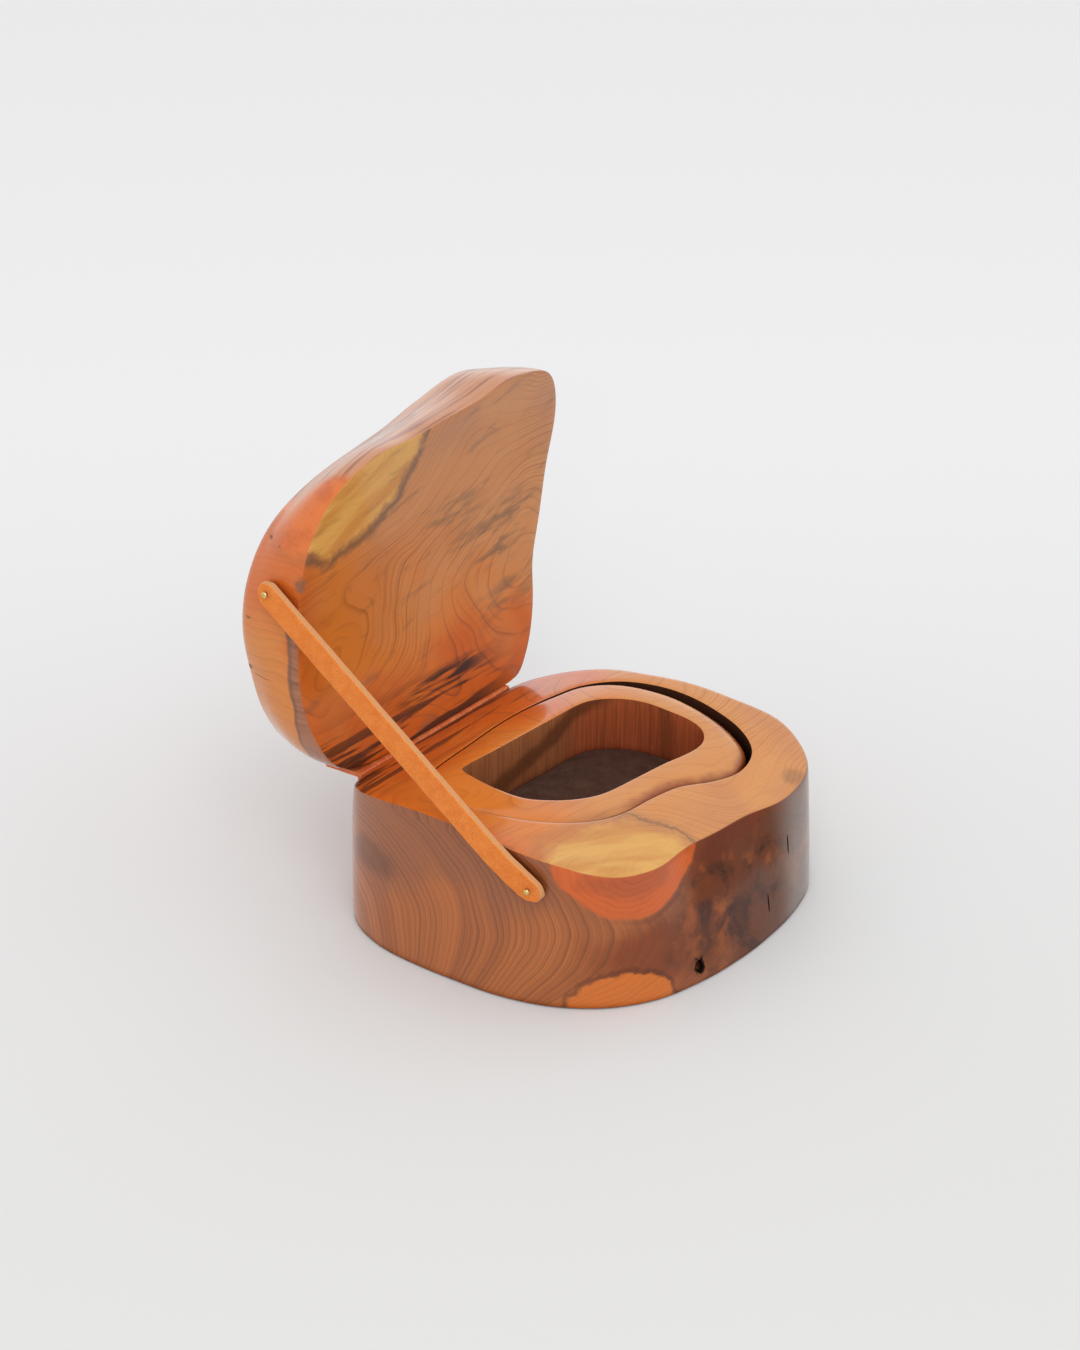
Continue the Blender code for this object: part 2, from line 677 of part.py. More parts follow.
def knot_cutter(material):
    """An egg-shaped cutter for the knot's pit, half sunk into the base's side."""
    share = PIT_HEIGHT / (HINGE_HEIGHT - RIM_EASE)
    reach = np.interp(PIT_BEARING, BEARINGS, [wall_radius(k, share) for k in range(BEARING_COUNT)])
    body = bmesh.new()
    sizes = Matrix.Diagonal((PIT_DEPTH, PIT_HALF_WIDTH, PIT_HALF_HEIGHT, 1))
    turned = Matrix.Rotation(PIT_BEARING, 4, "Z") @ Matrix.Translation((reach, 0, PIT_HEIGHT)) @ sizes
    bmesh.ops.create_uvsphere(
        body, u_segments=PIT_SEGMENTS, v_segments=PIT_SEGMENTS, radius=1, matrix=turned
    )
    mesh = bpy.data.meshes.new("knot_cutter")
    body.to_mesh(mesh)
    body.free()
    mesh.materials.append(material)
    return hidden(bpy.data.objects.new("knot_cutter", mesh))


def pin(name, place, material):
    """A brass pin along X: a domed head outside the strap and a pointed shank into the wood."""
    neck = PIN_SHANK_RADIUS
    head = PIN_HEAD_RADIUS
    point = (PIN_DEPTH, neck * PIN_POINT_SHARE)
    profile = [point, (PIN_DEPTH - PIN_POINT_LENGTH, neck), (0, neck), (0, head)]
    for arc in ARC_SHARES[:-1]:
        turn = arc * math.pi / 2
        profile.append((-PIN_HEAD_HEIGHT * math.sin(turn), head * math.cos(turn)))
    rings = []
    for inward, radius in profile:
        turns = [2 * math.pi * k / PIN_SIDES for k in range(PIN_SIDES)]
        rings.append([place + Vector((inward, radius * math.cos(a), radius * math.sin(a))) for a in turns])
    return lofted(name, rings, material, "pointed")


def cut(piece, cutter):
    """Take a cutter's shape out of a piece."""
    modifier = piece.modifiers.new(cutter.name, "BOOLEAN")
    modifier.operation = "DIFFERENCE"
    modifier.object = cutter


def main():
    """Build the whole box."""
    clear_scene()
    yew = finish("base_ring", YEW_SIDE, OILED)
    base = base_ring(yew)
    cut(base, knot_cutter(yew))
    floor_radii = CAVITY_RADII + FLOOR_REBATE - CLEARANCE
    board("base_floor", floor_radii, 0, FLOOR_THICKNESS - CLEARANCE, finish("base_floor", YEW_DARK, PLAIN))
    liner_ring(finish("liner_ring", YEW_DARK, PLAIN))
    lining_radii = CAVITY_RADII - LINER_WALL - CLEARANCE
    lining_top = FLOOR_THICKNESS + LINING_THICKNESS
    board("lower_lining", lining_radii, FLOOR_THICKNESS, lining_top, finish("lower_lining", BROWN, SUEDE))

    tray_slide = pivot("tray_slide", Vector((0, 0, TRAY_BOTTOM)))
    floor_top = TRAY_BOTTOM + TRAY_FLOOR_THICKNESS
    floor_radii = HOLLOW_RADII + TRAY_FLOOR_REBATE - CLEARANCE
    lining_radii = HOLLOW_RADII - CLEARANCE
    lining_low = floor_top + CLEARANCE
    lining_top = lining_low + LINING_THICKNESS
    carry(
        tray_slide,
        tray_ring(finish("tray_ring", YEW_FACE, OILED)),
        board("tray_floor", floor_radii, TRAY_BOTTOM, floor_top, finish("tray_floor", YEW_DARK, PLAIN)),
        board("tray_lining", lining_radii, lining_low, lining_top, finish("tray_lining", BROWN, SUEDE)),
    )

    strap = strap_body(finish("strap", ORANGE, SUEDE))
    hinge_strip(finish("hinge_strip", TAN, PLAIN))

    lid_hinge = pivot("lid_hinge", HINGE_AXIS, -OPEN_ANGLE)
    lid = lid_body(finish("lid", YEW_SIDE, OILED))
    base_pin_place = Vector((pin_seat(0), BASE_PIN_Y, BASE_PIN_Z))
    lid_pin_place = Vector((pin_seat(STRAP_SPAN), LID_PIN_CLOSED_Y, LID_PIN_CLOSED_Z))
    pin("strap_pin_base", base_pin_place, finish("strap_pin_base", BRASS, OILED, 1.0))
    brass = finish("strap_pin_lid", BRASS, OILED, 1.0)
    lid_pin = pin("strap_pin_lid", lid_pin_place, brass)

    hole = PIN_SHANK_RADIUS + CLEARANCE
    hole_length = 2 * (PIN_DEPTH + OVERRUN)
    base_drill = rod("base_drill", hole, hole_length, base_pin_place, brass)
    lid_drill = rod("lid_drill", hole, hole_length, lid_pin_place, brass)
    strap_place = Vector((lid_pin_place.x, LID_PIN_Y, LID_PIN_Z))
    strap_drill = rod("strap_drill", hole, hole_length, strap_place, brass)
    cut(base, base_drill)
    cut(strap, base_drill)
    cut(strap, strap_drill)
    cut(lid, lid_drill)
    carry(lid_hinge, lid, lid_pin, lid_drill)

    print("strap from pin to pin", round(STRAP_SPAN, 4))


if __name__ == "__main__":
    main()
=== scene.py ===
"""Looks of the sculpted jewel box: solid yew, a suede strap, brass pins, leather hinge and linings.

Everything is in metres in the frame's own space. The yew is one solid block in the materials: its
growth rings, sapwood, burr and streaks are laid out in millimetres in the closed block, so they run
on from the base into the tray and into the lid.
"""

import logging
import math
from dataclasses import dataclass
from enum import Enum
from functools import cache, partial, reduce
from typing import Optional, Sequence, Union

import bmesh
import bpy
import numpy as np
from bpy.types import Material, Mesh, Node, NodeSocket, NodeTree, Object
from mathutils import Matrix, Vector, noise


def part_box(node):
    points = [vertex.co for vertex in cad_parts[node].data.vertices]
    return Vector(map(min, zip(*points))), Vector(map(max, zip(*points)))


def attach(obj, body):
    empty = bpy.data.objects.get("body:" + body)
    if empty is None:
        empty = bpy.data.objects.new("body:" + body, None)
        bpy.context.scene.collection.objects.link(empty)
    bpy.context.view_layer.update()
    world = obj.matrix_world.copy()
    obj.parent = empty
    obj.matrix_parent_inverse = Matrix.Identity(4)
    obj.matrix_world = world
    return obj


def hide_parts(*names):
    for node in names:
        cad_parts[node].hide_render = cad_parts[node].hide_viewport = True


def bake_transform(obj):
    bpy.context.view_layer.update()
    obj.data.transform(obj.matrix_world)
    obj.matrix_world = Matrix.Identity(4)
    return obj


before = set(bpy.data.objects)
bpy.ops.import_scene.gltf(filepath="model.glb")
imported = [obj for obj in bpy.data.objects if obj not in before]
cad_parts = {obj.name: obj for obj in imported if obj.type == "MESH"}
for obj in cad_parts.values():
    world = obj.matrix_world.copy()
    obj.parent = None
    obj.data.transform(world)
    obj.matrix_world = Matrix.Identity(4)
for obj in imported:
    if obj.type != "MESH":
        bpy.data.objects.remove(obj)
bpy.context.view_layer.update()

logging.basicConfig(level=logging.INFO, format="%(message)s")
log = logging.getLogger("jewel_box")

Triple = tuple[float, float, float]
Feed = Union[NodeSocket, float, Sequence[float]]

# Closed block: the hinge line, and the turn that opens the lid about it
HINGE_LINE = (-0.0110, 0.0620, 0.0550)
OPEN_ANGLE = math.radians(93.5)

# Millimetres in a metre, the angle over which an edge is sharp, and the lengths that count as none
MM = 1000.0
SHARP_ANGLE = math.radians(40)
NO_LENGTH = 1e-6


def paint(*parts: int) -> Triple:
    """A linear colour from the eight-bit values of a paint chart."""
    shares = [part / 255 for part in parts]
    return tuple(s / 12.92 if s <= 0.04045 else ((s + 0.055) / 1.055) ** 2.4 for s in shares)


class Inside(Enum):
    """How a ring's inner wall is left."""

    OILED = "oiled"
    SAWN = "sawn"
    # Inner walls painted near-black: painted shade in the narrow slot
    STAINED = "stained"


class Body(Enum):
    """Bodies of the frame that pieces ride on."""

    BASE = "base"
    TRAY = "tray"
    LID = "lid"


class Recipe:
    """Short calls that lay nodes in one tree and join them up."""

    def __init__(self, tree: NodeTree) -> None:
        """Start a recipe in a tree."""
        self.tree = tree

    def feed(self, socket: NodeSocket, value: Feed) -> None:
        """Give an input a link or a set value.

        Args:
            socket: The input.
            value: Another node's output, a number, or a row of numbers.
        """
        if isinstance(value, NodeSocket):
            self.tree.links.new(value, socket)
            return
        if socket.type == "RGBA" and len(value) == 3:
            value = (*value, 1.0)
        socket.default_value = value

    def node(self, kind: str, inputs: Optional[dict] = None, **settings: object) -> Node:
        """Lay one node.

        Args:
            kind: Type of node.
            inputs: Values or links by input name or number.
            settings: Values of the node's own settings.

        Returns:
            The new node.
        """
        made = self.tree.nodes.new(kind)
        for name, value in settings.items():
            setattr(made, name, value)
        for key, value in (inputs or {}).items():
            self.feed(made.inputs[key], value)
        return made

    def sum(self, operation: str, *values: Feed, clamp: bool = False) -> NodeSocket:
        """Work out one number, kept from 0 to 1 where it is clamped."""
        inputs = dict(enumerate(values))
        return self.node("ShaderNodeMath", inputs, operation=operation, use_clamp=clamp).outputs[0]

    def times(self, *values: Feed) -> NodeSocket:
        """Multiply numbers together."""
        return reduce(partial(self.sum, "MULTIPLY"), values)

    def most(self, *values: Feed) -> NodeSocket:
        """The largest of some numbers."""
        return reduce(partial(self.sum, "MAXIMUM"), values)

    def less(self, first: Feed, second: Feed) -> NodeSocket:
        """One number less another."""
        return self.sum("SUBTRACT", first, second)

    def fit(self, value: Feed, scale: Feed, shift: Feed, clamp: bool = False) -> NodeSocket:
        """A number scaled, and then shifted."""
        return self.sum("MULTIPLY_ADD", value, scale, shift, clamp=clamp)

    def vector(self, operation: str, *values: Feed) -> NodeSocket:
        """Work out one vector, or the number that the operation gives.

        Args:
            operation: Kind of sum.
            values: The vectors that go in. A scale goes last.

        Returns:
            The answer.
        """
        made = self.node("ShaderNodeVectorMath", operation=operation)
        for index, value in enumerate(values):
            self.feed(made.inputs["Scale" if operation == "SCALE" and index else index], value)
        return made.outputs["Value" if operation in ("DOT_PRODUCT", "LENGTH") else "Vector"]

    def apart(self, place: Feed) -> tuple[NodeSocket, ...]:
        """X, Y and Z of a place."""
        return tuple(self.node("ShaderNodeSeparateXYZ", {"Vector": place}).outputs)

    def step(self, value: Feed, low: Feed, high: Feed) -> NodeSocket:
        """A smooth step from 0 at one value to 1 at another, which may be below."""
        inputs = {"Value": value, "From Min": low, "From Max": high}
        return self.node("ShaderNodeMapRange", inputs, interpolation_type="SMOOTHSTEP").outputs["Result"]

    def near(self, value: Feed, middle: float, reach: float, full: float = 0.0) -> NodeSocket:
        """A mask that is 1 up to a full distance from a middle value, and 0 from its reach on."""
        return self.step(self.sum("ABSOLUTE", self.less(value, middle)), reach, full)

    def mix(self, share: Feed, first: Feed, second: Feed, blend: str = "MIX") -> NodeSocket:
        """Mix a share of a second colour into the first."""
        inputs = {0: share, 6: first, 7: second}
        return self.node("ShaderNodeMix", inputs, data_type="RGBA", blend_type=blend).outputs[2]

    def noise(
        self, place: Feed, size: float, detail: float = 2.0, rough: float = 0.5, twist: float = 0.0
    ) -> NodeSocket:
        """Soft clouds.

        Args:
            place: Where they are looked up.
            size: Rough size of one cloud, in the place's units.
            detail: How many finer layers lie on them.
            rough: Strength of the finer layers.
            twist: How far they are distorted.

        Returns:
            The value of the clouds.
        """
        inputs = {"Vector": place, "Scale": 1 / size, "Detail": detail, "Roughness": rough}
        return self.node("ShaderNodeTexNoise", {**inputs, "Distortion": twist}).outputs["Fac"]

    def stretched(self, place: Feed, sizes: Triple, detail: float = 2.0, turn: float = 0.0) -> NodeSocket:
        """Clouds drawn out along one direction.

        Args:
            place: Where they are looked up.
            sizes: Size of one cloud along X, Y and Z after the turn.
            detail: How many finer layers lie on them.
            turn: Turn about Z, in degrees.

        Returns:
            The value of the clouds.
        """
        if turn:
            inputs = {"Vector": place, "Angle": math.radians(turn)}
            place = self.node("ShaderNodeVectorRotate", inputs, rotation_type="Z_AXIS").outputs[0]
        return self.noise(self.vector("DIVIDE", place, sizes), 1.0, detail)

    def attribute(self, name: str, output: str) -> NodeSocket:
        """Look up an attribute of the mesh."""
        return self.node("ShaderNodeAttribute", attribute_name=name).outputs[output]

    def bump(self, height: Feed, strength: float, distance: float) -> NodeSocket:
        """A normal bumped by a height, where 1 stands for the distance in metres."""
        inputs = {"Height": height, "Strength": strength, "Distance": distance}
        return self.node("ShaderNodeBump", inputs).outputs["Normal"]

    def group(self, tree: NodeTree, **inputs: Feed) -> Sequence[NodeSocket]:
        """Place a node group, and give its outputs by name."""
        return self.node("ShaderNodeGroup", inputs, node_tree=tree).outputs


class Group(Recipe):
    """A shader node group with named inputs and outputs."""

    KINDS = {"Place": "Vector", "Centre": "Vector", "Sizes": "Vector", "Color": "Color"}

    def __init__(self, name: str, takes: Sequence[str], gives: Sequence[str]) -> None:
        """Start a group.

        Args:
            name: Name of the group.
            takes: Names of its inputs.
            gives: Names of its outputs.
        """
        super().__init__(bpy.data.node_groups.new(name, "ShaderNodeTree"))
        for side, labels in (("INPUT", takes), ("OUTPUT", gives)):
            for label in labels:
                kind = "NodeSocket" + self.KINDS.get(label, "Float")
                self.tree.interface.new_socket(name=label, in_out=side, socket_type=kind)
        self.inside = self.node("NodeGroupInput").outputs
        self.outside = self.node("NodeGroupOutput").inputs

    def gives(self, **outputs: Feed) -> NodeTree:
        """Join what the group gives to its outputs.

        Args:
            outputs: Values or links, by name.

        Returns:
            The finished group.
        """
        for name, value in outputs.items():
            self.feed(self.outside[name], value)
        return self.tree


@cache
def late_wood() -> NodeTree:
    """Build the group of late wood: dark lines, one to a year, each of its own strength.

    Returns:
        A group from Count, which grows by 1 a year, and Start to Line.
    """
    peak, faintest = 0.95, 0.40
    made = Group("Late wood", ("Count", "Start"), ("Line",))
    count, start = made.inside["Count"], made.inside["Start"]
    phase = made.sum("FRACT", count)
    year = {"W": made.sum("FLOOR", count)}
    lot = made.node("ShaderNodeTexWhiteNoise", year, noise_dimensions="1D").outputs["Value"]
    rise = made.sum("DIVIDE", made.less(phase, start), peak)
    rise = made.sum("DIVIDE", rise, made.less(1.0, start), clamp=True)
    fall = made.step(phase, 1.00, 0.93)
    return made.gives(Line=made.times(rise, rise, fall, made.fit(lot, 1 - faintest, faintest)))


@dataclass(frozen=True)
class Rings:
    """Growth rings: contour lines over a count of years."""

    name: str = "Rings"
    wander: float = 1.7  # Years that the count wanders by
    wander_size: float = 17.0  # Millimetres
    wander_rough: float = 0.45
    start: float = 0.20  # Part of a year after which late wood starts
    finer: float = 2.3  # Finer lines to a year
    finer_shift: float = 0.0
    finer_start: float = 0.35
    finer_strength: float = 0.85
    tone_years: float = 4.0  # Years over which the wood's tone changes

    def count(self, made: Group, place: NodeSocket) -> NodeSocket:
        """Count the years at a place of a group."""
        raise NotImplementedError

    def shown(self, made: Group, place: NodeSocket) -> Feed:
        """Where the finer lines show."""
        return 1.0

    def build(self) -> NodeTree:
        """Build the group.

        Returns:
            A group from Place to Line and Tone.
        """
        made = Group(self.name, ("Place",), ("Line", "Tone"))
        place = made.inside["Place"]
        count = self.count(made, place)
        cloud = made.noise(place, self.wander_size, 1.0, self.wander_rough)
        count = made.fit(cloud, self.wander, count)
        line = made.group(late_wood(), Count=count, Start=self.start)["Line"]
        often = made.fit(count, self.finer, self.finer_shift)
        fine = made.group(late_wood(), Count=often, Start=self.finer_start)["Line"]
        line = made.most(line, made.times(fine, self.shown(made, place), self.finer_strength))
        inputs = {"W": made.sum("DIVIDE", count, self.tone_years), "Scale": 1.0, "Detail": 2.0}
        tone = made.node("ShaderNodeTexNoise", inputs, noise_dimensions="1D").outputs["Fac"]
        return made.gives(Line=line, Tone=tone)


@dataclass(frozen=True)
class SideRings(Rings):
    """Rings as the block's sides cut them: contour lines over a smooth surface."""

    name: str = "Side rings"
    reach: float = 50.0  # Millimetres along the side that 1 stands for
    middle: float = 25.0  # Height that the surface is measured from
    rise: float = 25.0  # Millimetres of height that 1 stands for
    # Years gained, by power of the way along and then of the height
    rows: tuple[tuple[float, ...], ...] = ((19.0, -1.1, 5.6), (5.2, 3.3, 1.4), (-8.2, 2.9), (-1.7,))
    corner: float = 0.1  # Where the fitted surface ends along the side
    beyond: float = 8.0  # Years gained per 1 past it
    top: float = 1.4  # Height above which the surface stays as it is

    def count(self, made: Group, place: NodeSocket) -> NodeSocket:
        """Count the years at a place.

        Args:
            made: The group.
            place: The place.

        Returns:
            The years.
        """
        x, y, z = made.apart(place)
        along = made.sum("DIVIDE", made.less(x, y), self.reach)
        near = made.sum("MINIMUM", along, self.corner)
        up = made.sum("MINIMUM", made.sum("DIVIDE", made.less(z, self.middle), self.rise), self.top)
        count = 0.0
        for row in reversed(self.rows):
            part = 0.0
            for years in reversed(row):
                part = made.fit(part, up, years)
            count = made.fit(count, near, part)
        return made.fit(made.less(along, near), self.beyond, count)


@dataclass(frozen=True)
class FaceRings(Rings):
    """Rings as the parting cut and the crown show them: contour lines over a swelling surface."""

    name: str = "Face rings"
    wander: float = 1.5
    wander_size: float = 21.0
    wander_rough: float = 0.4
    start: float = 0.74
    finer: float = 2.7
    finer_shift: float = 0.4
    finer_start: float = 0.44
    finer_strength: float = 0.50
    tone_years: float = 3.0
    level: float = 2.0  # Years at the block's middle
    slope: Triple = (0.035, 0.125, 0.0)  # Years gained per millimetre to the right and back
    # Columns and rows that the swellings stand in, and the years gained over each
    columns: tuple[float, ...] = (-62.0, -30.0, 0.0, 30.0, 60.0)
    rows: tuple[float, ...] = (-50.0, -20.0, 8.0, 34.0, 58.0)
    swellings: tuple[tuple[float, ...], ...] = (
        (-2.5, -7.0, 2.5, 2.3, -1.7),
        (0.9, 1.8, -0.4, 0.0, 3.2),
        (0.8, -1.0, 1.8, 1.9, 2.3),
        (-3.7, -3.2, -0.6, 1.4, 2.0),
        (-1.3, 4.4, -1.9, -2.6, -3.5),
    )
    reach: float = 27.0  # How far a swelling spreads
    lean: Triple = (0.25, 0.45, 0.0)  # Move of the figure per millimetre of height
    cut_height: float = 61.0

    def count(self, made: Group, place: NodeSocket) -> NodeSocket:
        """Count the years at a place.

        Args:
            made: The group.
            place: The place.

        Returns:
            The years.
        """
        shift = made.vector("SCALE", self.lean, made.less(made.apart(place)[2], self.cut_height))
        flat = made.vector("MULTIPLY", made.vector("ADD", place, shift), (1.0, 1.0, 0.0))
        count = made.sum("ADD", made.vector("DOT_PRODUCT", flat, self.slope), self.level)
        for back, heights in zip(self.rows, self.swellings):
            for across, height in zip(self.columns, heights):
                away = made.vector("SUBTRACT", flat, (across, back, 0.0))
                away = made.vector("SCALE", away, 1 / self.reach)
                fall = made.times(made.vector("DOT_PRODUCT", away, away), -1.0)
                count = made.fit(made.sum("EXPONENT", fall), height, count)
        return count

    def shown(self, made: Group, place: NodeSocket) -> Feed:
        """Where the finer lines show: here and there."""
        return made.step(made.noise(place, 32.0, 1.0), 0.42, 0.58)


@cache
def patch() -> NodeTree:
    """Build the group of a rounded region with a ragged edge.

    Returns:
        A group from Place, Centre, Sizes, Ragged, Fine and Soft to Inside and Depth.
    """
    made = Group("Patch", ("Place", "Centre", "Sizes", "Ragged", "Fine", "Soft"), ("Inside", "Depth"))
    place, soft = made.inside["Place"], made.inside["Soft"]
    away = made.vector("SUBTRACT", place, made.inside["Centre"])
    reach = made.vector("LENGTH", made.vector("DIVIDE", away, made.inside["Sizes"]))
    cloud = made.noise(made.vector("SCALE", place, made.inside["Fine"]), 9.0, 3.0, 0.6)
    reach = made.fit(made.less(cloud, 0.5), made.inside["Ragged"], reach)
    inside = made.step(reach, made.sum("ADD", 1.0, soft), made.less(1.0, soft))
    return made.gives(Inside=inside, Depth=reach)


@dataclass(frozen=True)
class Region:
    """A rounded region of the closed block, in millimetres, with a ragged or soft edge."""

    centre: Triple
    sizes: Triple
    ragged: float = 0.8
    fine: float = 4.0
    soft: float = 0.5

    def find(self, made: Recipe, place: Feed) -> Sequence[NodeSocket]:
        """Masks of the region: inside it, and the depth, which is 1 at its edge."""
        return made.group(patch(), Place=place, **{key.title(): value for key, value in vars(self).items()})


@dataclass(frozen=True)
class YewColours:
    """Colours of the yew, linear."""

    face: Triple = (0.575, 0.245, 0.085)
    face_rosy: Triple = (0.500, 0.210, 0.095)
    face_amber: Triple = (0.630, 0.175, 0.018)
    face_deep: Triple = (0.530, 0.088, 0.005)
    side: Triple = (0.460, 0.132, 0.028)
    side_dusky: Triple = (0.270, 0.070, 0.020)
    side_mauve: Triple = (0.290, 0.095, 0.038)
    line: Triple = (0.200, 0.048, 0.012)
    line_warm: Triple = (0.340, 0.080, 0.020)
    side_line: Triple = (0.130, 0.040, 0.014)
    sapwood: Triple = (0.700, 0.370, 0.090)
    sapwood_amber: Triple = (0.600, 0.260, 0.055)
    knot_orange: Triple = (0.601, 0.108, 0.013)
    knot_red: Triple = (0.380, 0.070, 0.014)
    knot_line: Triple = (0.180, 0.034, 0.010)
    foot_orange: Triple = (0.640, 0.160, 0.020)
    light_side: Triple = (0.640, 0.215, 0.042)
    light_red: Triple = (0.620, 0.130, 0.018)
    light_knot: Triple = (0.690, 0.165, 0.030)
    light_deep: Triple = (0.480, 0.090, 0.014)
    lid_band: Triple = (0.380, 0.150, 0.080)
    # Rosy front of the lid: the wood's own tone, lightened in part as painted sheen
    front_rose: Triple = (0.560, 0.255, 0.130)
    front_dark: Triple = (0.300, 0.100, 0.048)
    burr: Triple = (0.140, 0.031, 0.007)
    burr_dark: Triple = (0.035, 0.009, 0.004)
    burr_bright: Triple = (0.330, 0.078, 0.012)
    burr_red: Triple = (0.150, 0.027, 0.007)
    haze: Triple = (0.110, 0.047, 0.025)
    # Pale grey of the painted sheen on the burr's right end
    dust: Triple = (0.270, 0.225, 0.190)
    smear: Triple = (0.215, 0.041, 0.009)
    smoke: Triple = (0.150, 0.085, 0.050)
    streak: Triple = (0.045, 0.012, 0.005)
    pit: Triple = (0.006, 0.004, 0.003)
    # Brown of the lid's bark pockets, and of the painted shadow by the strap's end
    bark: Triple = (0.306, 0.126, 0.065)
    hollow: Triple = (0.360, 0.125, 0.046)
    hollow_red: Triple = (0.420, 0.090, 0.030)
    hollow_dark: Triple = (0.070, 0.022, 0.009)
    # Near-black of the inner walls, a painted shade
    stained: Triple = (0.030, 0.011, 0.006)


@dataclass(frozen=True)
class YewRegions:
    """Where the yew's regions lie in the closed block, in millimetres."""

    sap: Region = Region((-49.0, -62.0, 64.0), (40.0, 39.0, 29.0), 0.30, 0.8, 0.08)
    knot: Region = Region((-38.0, -48.0, 60.0), (29.0, 29.0, 25.0), 0.30, 0.45, 0.03)
    left_knot: Region = Region((-70.0, 44.0, 36.0), (12.0, 13.0, 6.0), 1.0, 0.7, 0.5)
    foot: Region = Region((-48.0, -53.0, -1.0), (19.0, 19.0, 15.5), 0.45, 1.0, 0.04)
    burr: Region = Region((37.0, -66.0, 27.0), (64.0, 42.0, 46.0), 0.7, 0.45, 0.28)
    smear: Region = Region((-35.0, -60.0, 19.0), (28.0, 24.0, 13.0), 1.0, 0.7, 0.6)
    smudge: Region = Region((49.0, -56.0, 50.0), (5.0, 4.0, 4.0), 0.9, 1.5, 0.4)
    long_streak: Region = Region((1.0, 46.5, 59.5), (25.0, 4.2, 6.0), 0.7, 0.8, 0.6)
    clouds: tuple[Region, ...] = (
        Region((15.5, -14.8, 61.9), (15.0, 6.5, 12.0), 0.8, 0.8, 0.7),
        Region((27.4, 1.1, 63.4), (15.0, 6.5, 12.0), 0.8, 0.8, 0.7),
        Region((48.6, -4.1, 63.1), (15.0, 6.5, 12.0), 0.8, 0.8, 0.7),
        Region((48.1, 29.4, 62.9), (15.0, 6.5, 12.0), 0.8, 0.8, 0.7),
        Region((38.0, 9.0, 63.5), (15.0, 6.5, 12.0), 0.8, 0.8, 0.7),
    )
    pits: tuple[Region, ...] = (
        Region((37.0, -63.4, 30.7), (0.42, 4.0, 3.6), 1.6, 1.3, 0.2),
        Region((22.2, -65.8, 13.8), (0.42, 4.0, 3.6), 1.6, 1.3, 0.2),
        Region((-18.8, -64.6, 7.0), (2.3, 3.0, 3.4), 1.9, 4.5, 0.2),
    )
    bark: tuple[Region, ...] = (
        # The first is the painted shadow that the strap's end casts on the lid; the rest are bark pockets and
        # marks
        Region((-69.6, -16.6, 62.0), (3.0, 2.4, 2.0), 2.4, 4.5, 0.6),
        Region((-54.9, -46.6, 65.4), (0.6, 0.6, 0.6)),
        Region((-67.5, -28.7, 72.5), (0.6, 0.6, 0.6)),
        Region((-63.4, -29.0, 79.9), (1.8, 0.5, 1.4)),
        Region((-74.2, -1.4, 83.8), (1.0, 0.5, 1.2)),
        Region((-72.6, 19.1, 86.8), (1.6, 0.9, 1.6)),
        Region((-74.0, 21.2, 80.6), (2.0, 0.22, 5.5)),
    )
    light_side_height: float = 67.0
    streak_back: tuple[float, float] = (36.0, 54.0)
    streak_right: tuple[float, float] = (46.0, 10.0)


TONE = YewColours()
AREA = YewRegions()


